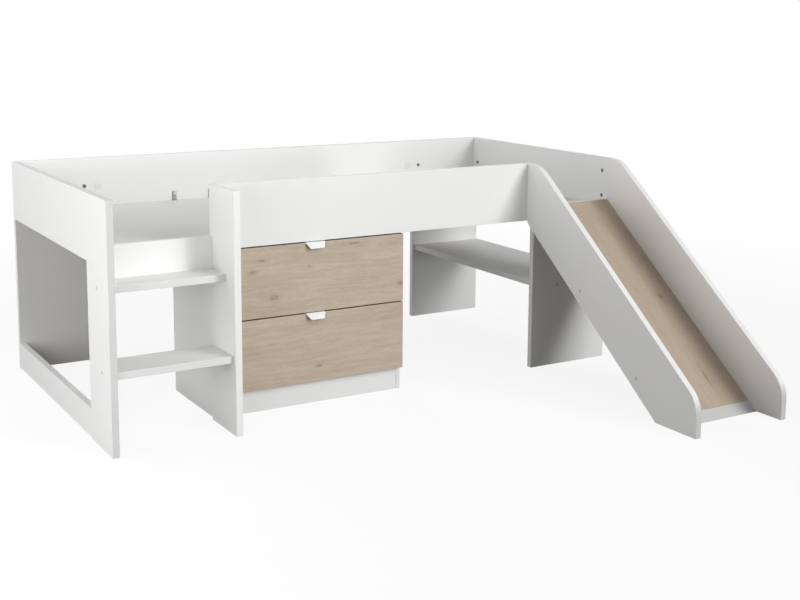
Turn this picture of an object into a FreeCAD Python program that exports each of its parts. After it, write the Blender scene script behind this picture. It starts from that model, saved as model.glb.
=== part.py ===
"""A low kids bed in white board, with a ladder, a chest of two drawers, a desk shelf and a slide.

The frame stands on the floor at z = 0, with x along the bed from the ladder to the slide, y to the rear
and the origin under the middle of the whole outline.
"""

import FreeCAD, Part
import os
import Sketcher

# Driving sizes in millimetres, each with what it measures
SIZES = (
    ("bed_length", 2044, "outer length of the bed"),
    ("bed_width", 944, "front rail to the rear face of the bed"),
    ("bed_height", 780, "top edge of all rails"),
    ("board", 22, "thickness of the white boards and of the oak fronts"),
    ("edge_round", 0.8, "eased edge of a board"),
    ("rail_height", 213, "height of the boards round the mattress"),
    ("ladder_depth", 178, "how far the ladder stands in front of the rail"),
    ("ladder_opening", 377, "clear width of the ladder"),
    ("post_width", 209, "solid front part of the left end panel"),
    ("floor_rail_height", 98, "top of the low rail in the left end panel"),
    ("floor_relief", 4, "clearance under that low rail"),
    ("rear_left_width", 286, "width of the rear left panel"),
    ("rear_right_width", 338, "width of the rear right panel"),
    ("tread_thickness", 22, "thickness of a tread"),
    ("upper_tread_drop", 270, "top of the upper tread below the rails' top edge"),
    ("tread_pitch", 253, "lower tread below the upper tread"),
    ("lower_tread_setback", 17, "lower tread behind the ladder's front edge"),
    ("upper_tread_setback", 65, "upper tread behind the ladder's front edge"),
    ("entry_drop", 165, "top of the sill below the rails' top edge"),
    ("slide_reach", 911, "rail front to the front end of the slide's feet"),
    ("slide_toe", 107, "front end of the feet to the point where the slide meets the floor"),
    ("slide_drop", 158, "sliding surface at the rail below the rails' top edge"),
    ("slide_width", 358, "clear width between the slide's sides"),
    ("slide_wall", 160, "slide's sides above the sliding surface"),
    ("slide_keel", 48, "slide's sides below the sliding surface"),
    ("slide_crown_round", 150, "corner at the head of a side"),
    ("slide_nose_round", 100, "corner at the foot of a side"),
    ("slide_heel_round", 30, "lower rear corner of a side"),
    ("slide_end_height", 28, "where the oak ends and the toe strip begins"),
    ("leg_inset", 10, "board under the head of the slide beside the end of the front rail"),
    ("shelf_top", 321, "top of the desk shelf"),
    ("shelf_width", 326, "depth of the desk shelf"),
    ("shelf_screw_inset", 72, "screws in the ends of the shelf"),
    ("base_thickness", 12, "panels that carry the mattress"),
    ("base_gap", 1, "play round the base panels"),
    ("batten_height", 18, "battens under the base panels"),
    ("batten_depth", 30, "battens under the base panels"),
    ("strip_width", 90, "strip under the joint of two base panels"),
    ("strip_gap", 5, "strip to batten"),
    ("chest_board", 16, "boards of the chest"),
    ("chest_offset", 9, "chest beside the ladder's side panel"),
    ("chest_width", 704, "outer width of the chest"),
    ("chest_depth", 366, "depth of the sides of the chest"),
    ("chest_back_thickness", 3, "hardboard back of the chest"),
    ("chest_top_setback", 8, "chest top behind the front edges of the sides, clear of the handle"),
    ("plinth_height", 80, "plinth of the chest"),
    ("plinth_setback", 2, "plinth behind the front edges of the sides"),
    ("front_gap", 0.6, "closed drawer front to the chest"),
    ("front_lift", 2, "lower front above the plinth"),
    ("front_side_gap", 2, "drawer fronts to the ladder's side panel"),
    ("drawer_gap", 4, "gap above each drawer front"),
    ("drawer_board", 12, "sides and back of a drawer"),
    ("drawer_rear_gap", 32, "sides of a drawer shorter than the chest"),
    ("drawer_side_drop", 53.5, "upper edge of a drawer's sides below that of its front"),
    ("drawer_bottom_thickness", 3, "bottom of a drawer"),
    ("groove_depth", 5, "groove that holds the bottom"),
    ("groove_rise", 10, "groove above the lower edge of the sides"),
    ("groove_play", 0.2, "play of the bottom in its groove"),
    ("runner_space", 12.5, "chest side to drawer side"),
    ("runner_rise", 18, "runners above the lower edge of a front"),
    ("runner_rear_gap", 26, "runners in the chest shorter than the chest"),
    ("runner_metal", 1, "sheet of the runners"),
    ("channel_gap", 1, "channel to the drawer's runner"),
    ("lip_gap", 0.7, "roller to the channel's upper lip"),
    ("flange_reach", 5.5, "width of the drawer runner's flange"),
    ("runner_web", 18, "drawer runner's web above its flange"),
    ("tab_length", 28, "tab that carries the rear roller"),
    ("box_rise", 2, "lower edge of a drawer side above the channel's floor"),
    ("roller_radius", 11, "rollers of the runners"),
    ("roller_inset", 14, "axle of a roller from the end of its runner"),
    ("roller_gap", 0.3, "roller to what runs on it"),
    ("roller_side_gap", 0.4, "roller to the web beside it"),
    ("axle_radius", 2, "axle of a roller"),
    ("axle_fit", 0.05, "play of a roller on its axle"),
    ("axle_head_radius", 3.5, "riveted head of an axle"),
    ("axle_head", 0.9, "riveted head of an axle"),
    ("axle_head_gap", 0.3, "riveted head of an axle to the web that passes it"),
    ("handle_width", 73, "tab handle at the top"),
    ("handle_foot_width", 50, "tab handle at its lower edge"),
    ("handle_metal", 1.5, "sheet of the tab handle"),
    ("handle_reach", 19, "how far the inner face of the leaning tab stands out at its foot"),
    ("handle_drop", 19, "foot of the tab below the top of the front"),
    ("handle_back_drop", 20, "leg of the handle behind the front"),
    ("handle_screw_spacing", 40, "two screws of a handle"),
    ("screw_neck_radius", 3.5, "assembly screw in the outer board"),
    ("screw_thread_radius", 2.5, "assembly screw in the inner board"),
    ("screw_thread", 32, "assembly screw in the inner board"),
    ("cap_radius", 6.5, "cover cap over an assembly screw"),
    ("cap_thickness", 1.2, "cover cap over an assembly screw"),
    ("cam_radius", 7.5, "cam lock"),
    ("cam_depth", 12.5, "cam lock"),
    ("cam_socket_radius", 3, "driver socket of a cam lock"),
    ("cam_socket_depth", 2.5, "driver socket of a cam lock"),
    ("cam_setback", 34, "cam lock from the joint that it pulls"),
    ("rear_cam_setback", 26, "cam lock from a joint in the rear plane"),
    ("bolt_radius", 3, "bolt of a cam lock"),
    ("bolt_thread", 11, "bolt of a cam lock in the other board"),
    ("fit", 0.1, "play round fasteners in their holes"),
    ("rail_fixing_rise", 66, "lower fixing of a rail above its lower edge"),
    ("rail_fixing_spacing", 96, "two fixings in the end of a rail"),
    ("entry_fixing_rise", 40, "cam locks of the sill above its lower edge"),
    ("chest_cam_inset", 60, "cam locks of the chest from its front and rear"),
    ("plate_size", 30, "square cover plate on the back rail"),
    ("plate_thickness", 1.5, "square cover plate on the back rail"),
    ("bracket_leg", 36, "leg of an angle bracket on the rear boards"),
    ("bracket_toe", 12, "toe of an angle bracket on the base"),
    ("bracket_width", 17, "angle bracket"),
    ("bracket_metal", 2.5, "angle bracket"),
    ("bracket_inset", 75, "angle bracket from the joint of two base panels"),
    ("wood_screw_radius", 2, "wood screw"),
    ("wood_screw_bite", 10, "wood screw in the board that holds it"),
    ("wood_screw_head_radius", 3.8, "wood screw"),
    ("wood_screw_head", 1.8, "wood screw"),
    ("batten_screw_inset", 60, "end screws of a batten from its ends"),
    ("runner_screw_inset", 60, "screws of a runner from its ends"),
    ("overrun", 2, "how far a cutter starts outside the material"),
)

# Shares of a length, chosen by hand
tread_screw_share = 0.4
slide_screw_shares = (0.213, 0.594)
batten_screw_shares = (0.0, 0.5, 1.0)
strip_screw_share = 0.25
bracket_screw_share = 0.67
cap_taper_share = 0.8
round_limit_share = 0.95
fine_share = 0.001

DRAWERS = ("lower", "upper")
AXES = "XYZ"
ORIGIN = FreeCAD.Vector(0, 0, 0)
ACROSS = FreeCAD.Vector(1, 0, 0)
UPRIGHT = FreeCAD.Vector(0, 0, 1)


class Size:
    """A length written as an expression over the sheet's names."""

    def __init__(self, text):
        self.text = str(text)

    def joined(self, sign, other, turned=False):
        pair = (text_of(other), self.text) if turned else (self.text, text_of(other))
        return Size(f"({pair[0]} {sign} {pair[1]})")

    def __add__(self, other):
        return self.joined("+", other)

    def __sub__(self, other):
        return self.joined("-", other)

    def __mul__(self, other):
        return self.joined("*", other)

    def __rmul__(self, other):
        return self.joined("*", other, turned=True)

    def __truediv__(self, other):
        return self.joined("/", other)

    def __neg__(self):
        return Size(f"(-1 * {self.text})")


def text_of(value):
    return value.text if isinstance(value, Size) else str(value)


def root_of(square):
    return Size(f"sqrt({text_of(square)})")


def least_of(one, other):
    return Size(f"min({text_of(one)}; {text_of(other)})")


class Sheet:
    """The spreadsheet of driving sizes; each attribute is that size as an expression."""

    def __init__(self, document):
        self.table = document.addObject("Spreadsheet::Sheet", "Sizes")
        for row, (alias, value, meaning) in enumerate(SIZES, start=1):
            self.table.set(f"A{row}", alias)
            self.table.set(f"B{row}", str(value))
            self.table.set(f"C{row}", meaning)
            self.table.setAlias(f"B{row}", alias)

    def __getattr__(self, alias):
        return Size(f"Sizes.{alias}")

    def value(self, size):
        return float(self.table.evalExpression(text_of(size)))


doc = FreeCAD.newDocument("KidsBed")
S = Sheet(doc)
doc.recompute()
nodes = {}


class Piece:
    """A sub-part with its own corner, so that cuts can be placed in the bed's frame."""

    def __init__(self, label, at):
        self.label = label
        self.at = at
        self.cuts = 0
        self.body = doc.addObject("PartDesign::Body", label)
        self.body.Label = label
        bind_place(self.body, at)
        nodes[label] = self.body

    def new_cut(self, kind):
        self.cuts += 1
        return self.body.newObject(f"PartDesign::{kind}", f"{self.label}_cut{self.cuts}")

    def local(self, point):
        return tuple(p - a for p, a in zip(point, self.at))


def bind_place(thing, at):
    for axis, value in zip("xyz", at):
        thing.setExpression(f"Placement.Base.{axis}", text_of(value))


def bind(thing, **sizes):
    for name, value in sizes.items():
        thing.setExpression(name, text_of(value))


def signed(direction):
    """Split a direction such as -X into the axis's place and a sign."""
    return AXES.index(direction[1]), 1 if direction[0] == "+" else -1


def opposite(direction):
    return ("-" if direction[0] == "+" else "+") + direction[1]


def turn_to(direction):
    axis, sign = signed(direction)
    target = FreeCAD.Vector(*(sign if place == axis else 0 for place in range(len(AXES))))
    return FreeCAD.Placement(ORIGIN, FreeCAD.Rotation(UPRIGHT, target))


def shift(point, direction, distance):
    axis, sign = signed(direction)
    moved = list(point)
    moved[axis] = point[axis] + distance if sign > 0 else point[axis] - distance
    return tuple(moved)


def ease(piece, base):
    """Round every edge of a board a little, as edging does."""
    doc.recompute()
    eased = piece.body.newObject("PartDesign::Fillet", f"{piece.label}_eased")
    eased.Base = (base, ["Edge1"])
    eased.UseAllEdges = True
    bind(eased, Radius=S.edge_round)


def board(label, at, size, eased=True):
    """A rectangular board with its low corner at a point."""
    piece = Piece(label, at)
    blank = piece.body.newObject("PartDesign::AdditiveBox", f"{label}_blank")
    bind(blank, Length=size[0], Width=size[1], Height=size[2])
    if eased:
        ease(piece, blank)
    return piece


def plane_of(body, role):
    return next(plane for plane in body.Origin.OriginFeatures if plane.Role == role)


def outline(piece, role, points, name):
    """A closed sketch of straight lines, each corner held by its two distances from the origin."""
    sketch = piece.body.newObject("Sketcher::SketchObject", f"{piece.label}_{name}")
    sketch.AttachmentSupport = (plane_of(piece.body, role), [""])
    sketch.MapMode = "FlatFace"
    corners = [FreeCAD.Vector(S.value(u), S.value(v), 0) for u, v in points]
    count = len(points)
    for index in range(count):
        line = Part.LineSegment(corners[index], corners[(index + 1) % count])
        sketch.addGeometry(line, False)
    for index in range(count):
        sketch.addConstraint(Sketcher.Constraint("Coincident", index, 2, (index + 1) % count, 1))
    for index, (u, v) in enumerate(points):
        for kind, value, axis in (("DistanceX", u, -2), ("DistanceY", v, -1)):
            if value == 0:
                sketch.addConstraint(Sketcher.Constraint("PointOnObject", index, 1, axis))
                continue
            rule = Sketcher.Constraint(kind, -1, 1, index, 1, S.value(value))
            number = sketch.addConstraint(rule)
            sketch.setExpression(f"Constraints[{number}]", text_of(value))
    return sketch


def shaped_board(label, at, points, thickness, rounds=(), eased=True):
    """A board cut to an outline in the upright plane along y, with chosen corners rounded."""
    piece = Piece(label, at)
    pad = piece.body.newObject("PartDesign::Pad", f"{label}_blank")
    pad.Profile = outline(piece, "YZ_Plane", points, "outline")
    bind(pad, Length=thickness)
    last = pad
    for number, ((u, v), radius) in enumerate(rounds, start=1):
        doc.recompute()
        corner = FreeCAD.Vector(0, S.value(u), S.value(v))
        rounded = piece.body.newObject("PartDesign::Fillet", f"{label}_round{number}")
        rounded.Base = (last, [edge_through(last.Shape, corner)])
        bind(rounded, Radius=radius)
        last = rounded
    if eased:
        ease(piece, last)
    return piece


def edge_through(shape, corner):
    """The name of the edge that runs across the board from a corner of its outline."""
    for number, edge in enumerate(shape.Edges, start=1):
        ends = [vertex.Point for vertex in edge.Vertexes]
        slack = edge.Length * fine_share
        if len(ends) != 2 or ends[0].sub(ends[1]).cross(ACROSS).Length > slack:
            continue
        if min(end.distanceToPoint(corner) for end in ends) < slack:
            return f"Edge{number}"
    raise RuntimeError(f"no edge at {corner}")


def bore(piece, start, direction, radius, depth):
    """A round hole from a point on a face into a piece."""
    cutter = piece.new_cut("SubtractiveCylinder")
    cutter.Placement = turn_to(direction)
    bind_place(cutter, piece.local(shift(start, opposite(direction), S.overrun)))
    bind(cutter, Radius=radius, Height=depth + S.overrun)


def groove(piece, at, size):
    """A rectangular slot cut out of a piece."""
    cutter = piece.new_cut("SubtractiveBox")
    bind_place(cutter, piece.local(at))
    bind(cutter, Length=size[0], Width=size[1], Height=size[2])


def rod(name, start, direction, radius, length):
    """A plain cylinder from a point along a direction."""
    cylinder = doc.addObject("Part::Cylinder", name)
    cylinder.Placement = turn_to(direction)
    bind_place(cylinder, start)
    bind(cylinder, Radius=radius, Height=length)
    return cylinder


def block(name, at, size):
    """A plain box with its low corner at a point."""
    box = doc.addObject("Part::Box", name)
    bind_place(box, at)
    bind(box, Length=size[0], Width=size[1], Height=size[2])
    return box


def fused(name, shapes):
    union = doc.addObject("Part::MultiFuse", name)
    union.Shapes = shapes
    return union


def without(name, base, tool):
    cut = doc.addObject("Part::Cut", name)
    cut.Base = base
    cut.Tool = tool
    return cut


def group(label, solids):
    """A node of several like solids."""
    node = doc.addObject("Part::Compound", label)
    node.Label = label
    node.Links = solids
    nodes[label] = node


# Places that several pieces share
left = -(S.bed_length / 2)
right = S.bed_length / 2
rear = (S.bed_width + S.slide_reach) / 2
rail_front = rear - S.bed_width
rail_back = rail_front + S.board
rear_inner = rear - S.board
ladder_front = rail_front - S.ladder_depth
slide_front = rail_front - S.slide_reach
inner_left = left + S.board
inner_right = right - S.board
rail_bottom = S.bed_height - S.rail_height
ladder_left = inner_left + S.ladder_opening
ladder_right = ladder_left + S.board
slide_left = inner_right - S.slide_width
leg_left = slide_left + S.leg_inset
slide_top = S.bed_height - S.slide_drop
shelf_left = right - S.shelf_width
back_rail_left = left + S.rear_left_width
back_rail_right = right - S.rear_right_width
base_bottom = rail_bottom + S.batten_height
base_top = base_bottom + S.base_thickness
rail_middle = rail_bottom + S.rail_height / 2
low_fixing = rail_bottom + S.rail_fixing_rise
rail_fixings = (low_fixing, low_fixing + S.rail_fixing_spacing)

# Rails and end panels
end_length = rear_inner - ladder_front
left_end_panel = shaped_board(
    "left_end_panel",
    (left, ladder_front, 0),
    (
        (0, 0),
        (S.post_width, 0),
        (S.post_width, S.floor_relief),
        (end_length, S.floor_relief),
        (end_length, S.floor_rail_height),
        (S.post_width, S.floor_rail_height),
        (S.post_width, rail_bottom),
        (end_length, rail_bottom),
        (end_length, S.bed_height),
        (0, S.bed_height),
    ),
    S.board,
)
rear_left_panel = board(
    "rear_left_panel", (left, rear_inner, 0), (S.rear_left_width, S.board, S.bed_height))
rear_right_panel = board(
    "rear_right_panel", (back_rail_right, rear_inner, 0), (S.rear_right_width, S.board, S.bed_height))
back_rail = board(
    "back_rail",
    (back_rail_left, rear_inner, rail_bottom),
    (back_rail_right - back_rail_left, S.board, S.rail_height),
)
right_end_rail = board(
    "right_end_rail",
    (inner_right, rail_front, rail_bottom),
    (S.board, rear_inner - rail_front, S.rail_height),
)
front_rail = board(
    "front_rail",
    (ladder_right, rail_front, rail_bottom),
    (slide_left - ladder_right, S.board, S.rail_height),
)

# Ladder
ladder_side_panel = board(
    "ladder_side_panel",
    (ladder_left, ladder_front, 0),
    (S.board, S.ladder_depth + S.board, S.bed_height),
)
upper_tread_top = S.bed_height - S.upper_tread_drop
tread_places = {
    "lower_tread": (S.lower_tread_setback, upper_tread_top - S.tread_pitch),
    "upper_tread": (S.upper_tread_setback, upper_tread_top),
}
treads = {}
for tread_name, (setback, top) in tread_places.items():
    treads[tread_name] = board(
        tread_name,
        (inner_left, ladder_front + setback, top - S.tread_thickness),
        (S.ladder_opening, S.ladder_depth - setback, S.tread_thickness),
    )
entry_bottom = upper_tread_top - S.tread_thickness
entry_top = S.bed_height - S.entry_drop
entry_board = board(
    "entry_board",
    (inner_left, rail_front, entry_bottom),
    (S.ladder_opening, S.board, entry_top - entry_bottom),
)

# Slide, drawn from the front end of its feet; every line along it has the same slope
slide_run = S.slide_reach - S.slide_toe
slide_length = root_of(slide_run * slide_run + slide_top * slide_top)
slope = slide_top / slide_run
level_per_depth = slide_length / slide_top
crest_foot = S.slide_toe - S.slide_wall * level_per_depth
keel_foot = S.slide_toe + S.slide_keel * level_per_depth
slide_heel = (S.slide_reach, (S.slide_reach - keel_foot) * slope)
slide_crown = (crest_foot + S.bed_height / slope, S.bed_height)
slide_nose = (0, -crest_foot * slope)
slide_outline = (
    (0, 0),
    (keel_foot, 0),
    slide_heel,
    (S.slide_reach, S.bed_height),
    slide_crown,
    slide_nose,
)
crown_limit = (S.slide_reach - slide_crown[0]) * slide_top / (slide_length - slide_run)
slide_rounds = (
    (slide_heel, S.slide_heel_round),
    (slide_crown, least_of(S.slide_crown_round, crown_limit * round_limit_share)),
    (slide_nose, S.slide_nose_round),
)
slide_sides = {}
for side_name, side_x in (("slide_left_side", slide_left - S.board), ("slide_right_side", inner_right)):
    slide_sides[side_name] = shaped_board(
        side_name, (side_x, slide_front, 0), slide_outline, S.board, slide_rounds)
oak_foot = S.slide_toe + S.slide_end_height / slope
oak_heel = oak_foot + S.board * slide_top / slide_length
oak_heel_height = S.slide_end_height - S.board * slide_run / slide_length
slide_board = shaped_board(
    "slide_board",
    (slide_left, slide_front, 0),
    (
        (oak_foot, S.slide_end_height),
        (oak_heel, oak_heel_height),
        (S.slide_reach, slide_top - S.board * slide_length / slide_run),
        (S.slide_reach, slide_top),
    ),
    S.slide_width,
)
slide_toe_strip = shaped_board(
    "slide_toe_strip",
    (slide_left, slide_front, 0),
    ((S.slide_toe, 0), (oak_heel, 0), (oak_heel, oak_heel_height), (oak_foot, S.slide_end_height)),
    S.slide_width,
    eased=False,
)
slide_leg_panel = board(
    "slide_leg_panel", (leg_left, rail_front, 0), (inner_right - leg_left, S.board, slide_top))

# Desk shelf between the slide's leg and the rear right panel
desk_shelf = board(
    "desk_shelf",
    (shelf_left, rail_back, S.shelf_top - S.board),
    (S.shelf_width, rear_inner - rail_back, S.board),
)

# Bed base on battens, with strips under the joints of its panels
batten_spans = {
    "front_batten": (ladder_right, rail_back, slide_left - ladder_right),
    "entry_batten": (inner_left, rail_back, S.ladder_opening),
    "slide_bay_batten": (leg_left, rail_back, inner_right - leg_left),
    "rear_batten": (inner_left, rear_inner - S.batten_depth, inner_right - inner_left),
}
battens = {}
for batten_name, (batten_x, batten_y, batten_length) in batten_spans.items():
    battens[batten_name] = board(
        batten_name, (batten_x, batten_y, rail_bottom), (batten_length, S.batten_depth, S.batten_height))
base_names = ("base_panel_left", "base_panel_middle", "base_panel_right")
base_pitch = (inner_right - inner_left) / len(base_names)
bases = {}
for index, base_name in enumerate(base_names):
    bases[base_name] = board(
        base_name,
        (inner_left + base_pitch * index + S.base_gap / 2, rail_back + S.base_gap, base_bottom),
        (base_pitch - S.base_gap, rear_inner - rail_back - 2 * S.base_gap, S.base_thickness),
    )
strip_front = rail_back + S.batten_depth + S.strip_gap
strip_rear = rear_inner - S.batten_depth - S.strip_gap
base_joints = [inner_left + base_pitch * number for number in (1, 2)]
strips = {}
for strip_name, joint_x in zip(("joint_strip_left", "joint_strip_right"), base_joints):
    strips[strip_name] = board(
        strip_name,
        (joint_x - S.strip_width / 2, strip_front, rail_bottom),
        (S.strip_width, strip_rear - strip_front, S.batten_height),
    )

# Chest
chest_left = ladder_left + S.chest_offset
chest_right = chest_left + S.chest_width
chest_front = rail_back + S.front_gap
chest_rear = chest_front + S.chest_depth
cavity_left = chest_left + S.chest_board
cavity_right = chest_right - S.chest_board
cavity_width = cavity_right - cavity_left
chest_left_side = board(
    "chest_left_side", (chest_left, chest_front, 0), (S.chest_board, S.chest_depth, rail_bottom))
chest_right_side = board(
    "chest_right_side", (cavity_right, chest_front, 0), (S.chest_board, S.chest_depth, rail_bottom))
chest_top = board(
    "chest_top",
    (cavity_left, chest_front + S.chest_top_setback, rail_bottom - S.chest_board),
    (cavity_width, S.chest_depth - S.chest_top_setback, S.chest_board),
)
chest_bottom = board(
    "chest_bottom",
    (cavity_left, chest_front, S.plinth_height),
    (cavity_width, S.chest_depth, S.chest_board),
)
chest_plinth = board(
    "chest_plinth",
    (cavity_left, chest_front + S.plinth_setback, 0),
    (cavity_width, S.chest_board, S.plinth_height),
)
chest_back = board(
    "chest_back",
    (chest_left, chest_rear, S.plinth_height),
    (S.chest_width, S.chest_back_thickness, rail_bottom - S.plinth_height),
)

# Fasteners, gathered while the holes for them are cut
assembly_screws = []
cover_caps = []
cam_locks = []
cam_bolts = []
wood_screws = []


def assembly_screw(head, direction, outer, inner, thickness, capped=True):
    """A stout screw through one board into the edge of another, with a cap over its head."""
    number = len(assembly_screws)
    tip = shift(head, direction, thickness)
    neck = rod(f"screw{number}_neck", head, direction, S.screw_neck_radius, thickness)
    thread = rod(f"screw{number}_thread", tip, direction, S.screw_thread_radius, S.screw_thread)
    assembly_screws.append(fused(f"screw{number}", [neck, thread]))
    bore(outer, head, direction, S.screw_neck_radius + S.fit, thickness)
    bore(inner, tip, direction, S.screw_thread_radius + S.fit, S.screw_thread + S.fit)
    if capped:
        cap = doc.addObject("Part::Cone", f"cap{number}")
        cap.Placement = turn_to(opposite(direction))
        bind_place(cap, head)
        bind(cap, Radius1=S.cap_radius, Radius2=S.cap_radius * cap_taper_share, Height=S.cap_thickness)
        cover_caps.append(cap)


def cam_lock(face, inwards, pull, holder, other, thickness, setback):
    """A cam lock let into the face of one board, with a bolt that pulls another board to it."""
    number = len(cam_locks)
    disc = rod(f"cam{number}_disc", face, inwards, S.cam_radius, S.cam_depth)
    socket = rod(f"cam{number}_socket", face, inwards, S.cam_socket_radius, S.cam_socket_depth)
    cam_locks.append(without(f"cam{number}", disc, socket))
    bore(holder, face, inwards, S.cam_radius + S.fit, S.cam_depth + S.fit)
    centre = shift(face, inwards, thickness / 2)
    start = shift(centre, pull, S.cam_radius + S.fit)
    joint = shift(centre, pull, setback)
    stem = setback - S.cam_radius - S.fit
    cam_bolts.append(rod(f"bolt{number}", start, pull, S.bolt_radius, stem + S.bolt_thread))
    bore(holder, joint, opposite(pull), S.bolt_radius + S.fit, setback)
    bore(other, joint, pull, S.bolt_radius + S.fit, S.bolt_thread + S.fit)


def wood_screw(name, head, direction, through, inner, thickness, proud):
    """A wood screw through a batten, bracket or runner; its head is let in or stands proud."""
    top = shift(head, opposite(direction), S.wood_screw_head) if proud else head
    cap = rod(f"{name}_head", top, direction, S.wood_screw_head_radius, S.wood_screw_head)
    shank = rod(f"{name}_shank", head, direction, S.wood_screw_radius, thickness + S.wood_screw_bite)
    if through is not None:
        bore(through, head, direction, S.wood_screw_radius + S.fit, thickness)
        if not proud:
            bore(through, head, direction, S.wood_screw_head_radius + S.fit, S.wood_screw_head + S.fit)
    pilot = shift(head, direction, thickness)
    bore(inner, pilot, direction, S.wood_screw_radius + S.fit, S.wood_screw_bite + S.fit)
    return fused(name, [cap, shank])


# Fixings of the ladder: capped screws into the treads, cam locks in the sill and the front rail
for tread_name, (setback, top) in tread_places.items():
    tread_y = ladder_front + setback + (S.ladder_depth - setback) * tread_screw_share
    tread_z = top - S.tread_thickness / 2
    assembly_screw((left, tread_y, tread_z), "+X", left_end_panel, treads[tread_name], S.board)
    assembly_screw(
        (ladder_right, tread_y, tread_z), "-X",
        ladder_side_panel, treads[tread_name], S.board, capped=False)
entry_cam_z = entry_bottom + S.entry_fixing_rise
cam_lock(
    (inner_left + S.cam_setback, rail_back, entry_cam_z), "-Y", "-X",
    entry_board, left_end_panel, S.board, S.cam_setback)
cam_lock(
    (ladder_left - S.cam_setback, rail_back, entry_cam_z), "-Y", "+X",
    entry_board, ladder_side_panel, S.board, S.cam_setback)
for fixing_z in rail_fixings:
    cam_lock(
        (ladder_right + S.cam_setback, rail_back, fixing_z), "-Y", "-X",
        front_rail, ladder_side_panel, S.board, S.cam_setback)

# Fixings of the slide, its leg and the desk shelf
for share in slide_screw_shares:
    screw_y = slide_front + S.slide_toe + slide_run * share + S.board / 2 * slide_top / slide_length
    screw_z = slide_top * share - S.board / 2 * slide_run / slide_length
    assembly_screw(
        (slide_left - S.board, screw_y, screw_z), "+X",
        slide_sides["slide_left_side"], slide_board, S.board)
    assembly_screw(
        (right, screw_y, screw_z), "-X", slide_sides["slide_right_side"], slide_board, S.board)
for fixing_z in rail_fixings:
    assembly_screw(
        (slide_left - S.board / 2, rail_back, fixing_z), "-Y",
        front_rail, slide_sides["slide_left_side"], S.board)
    cam_lock(
        (inner_right, rail_front + S.cam_setback, fixing_z), "+X", "-Y",
        right_end_rail, slide_sides["slide_right_side"], S.board, S.cam_setback)
leg_fixing_z = (rail_bottom + slide_top) / 2
assembly_screw(
    (right, rail_front + S.board / 2, leg_fixing_z), "-X", right_end_rail, slide_leg_panel, S.board)
shelf_z = S.shelf_top - S.board / 2
for screw_x in (shelf_left + S.shelf_screw_inset, inner_right - S.shelf_screw_inset):
    assembly_screw((screw_x, rail_front, shelf_z), "+Y", slide_leg_panel, desk_shelf, S.board)
    assembly_screw(
        (screw_x, rear, shelf_z), "-Y", rear_right_panel, desk_shelf, S.board, capped=False)

# Fixings of the rear plane
cam_lock(
    (inner_right, rear_inner - S.cam_setback, rail_middle), "+X", "+Y",
    right_end_rail, rear_right_panel, S.board, S.cam_setback)
for fixing_z in (rail_middle, S.floor_rail_height / 2):
    cam_lock(
        (inner_left, rear_inner - S.cam_setback, fixing_z), "-X", "+Y",
        left_end_panel, rear_left_panel, S.board, S.cam_setback)
cam_lock(
    (back_rail_left - S.rear_cam_setback, rear_inner, rail_middle), "+Y", "+X",
    rear_left_panel, back_rail, S.board, S.rear_cam_setback)
cam_lock(
    (back_rail_right + S.rear_cam_setback, rear_inner, rail_middle), "+Y", "-X",
    rear_right_panel, back_rail, S.board, S.rear_cam_setback)
plate_centres = (back_rail_left + S.rear_cam_setback, back_rail_right - S.rear_cam_setback)
cover_plates = [
    block(
        f"plate{number}",
        (centre - S.plate_size / 2, rear_inner - S.plate_thickness, rail_middle - S.plate_size / 2),
        (S.plate_size, S.plate_thickness, S.plate_size),
    )
    for number, centre in enumerate(plate_centres, start=1)
]

# Fixings of the chest
for holder, low in ((chest_top, rail_bottom - S.chest_board), (chest_bottom, S.plinth_height)):
    for cam_y in (chest_front + S.chest_cam_inset, chest_rear - S.chest_cam_inset):
        cam_lock(
            (cavity_left + S.cam_setback, cam_y, low), "+Z", "-X",
            holder, chest_left_side, S.chest_board, S.cam_setback)
        cam_lock(
            (cavity_right - S.cam_setback, cam_y, low), "+Z", "+X",
            holder, chest_right_side, S.chest_board, S.cam_setback)
plinth_rear = chest_front + S.plinth_setback + S.chest_board
for cam_x, pull, other in (
    (cavity_left + S.cam_setback, "-X", chest_left_side),
    (cavity_right - S.cam_setback, "+X", chest_right_side),
):
    cam_lock(
        (cam_x, plinth_rear, S.plinth_height / 2), "-Y", pull,
        chest_plinth, other, S.chest_board, S.cam_setback)

# Screws of the battens and strips
batten_boards = {
    "front_batten": ("-Y", [front_rail] * 3),
    "entry_batten": ("-Y", [entry_board] * 3),
    "slide_bay_batten": ("-Y", [slide_leg_panel] * 3),
    "rear_batten": ("+Y", [rear_left_panel, back_rail, rear_right_panel]),
}
for batten_name, (direction, holders) in batten_boards.items():
    batten_x, batten_y, batten_length = batten_spans[batten_name]
    head_y = batten_y if direction == "+Y" else batten_y + S.batten_depth
    for share, holder in zip(batten_screw_shares, holders):
        reach = batten_length - 2 * S.batten_screw_inset
        head_x = batten_x + S.batten_screw_inset + reach * share
        head = (head_x, head_y, rail_bottom + S.batten_height / 2)
        wood_screws.append(wood_screw(
            f"wood_screw{len(wood_screws)}", head, direction,
            battens[batten_name], holder, S.batten_depth, proud=False))
for strip_index, (strip_name, joint_x) in enumerate(zip(strips, base_joints)):
    for side, base_name in ((-1, base_names[strip_index]), (1, base_names[strip_index + 1])):
        for share in batten_screw_shares:
            reach = strip_rear - strip_front - 2 * S.batten_screw_inset
            head = (
                joint_x + S.strip_width * strip_screw_share * side,
                strip_front + S.batten_screw_inset + reach * share,
                rail_bottom,
            )
            wood_screws.append(wood_screw(
                f"wood_screw{len(wood_screws)}", head, "+Z",
                strips[strip_name], bases[base_name], S.batten_height, proud=False))

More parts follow.
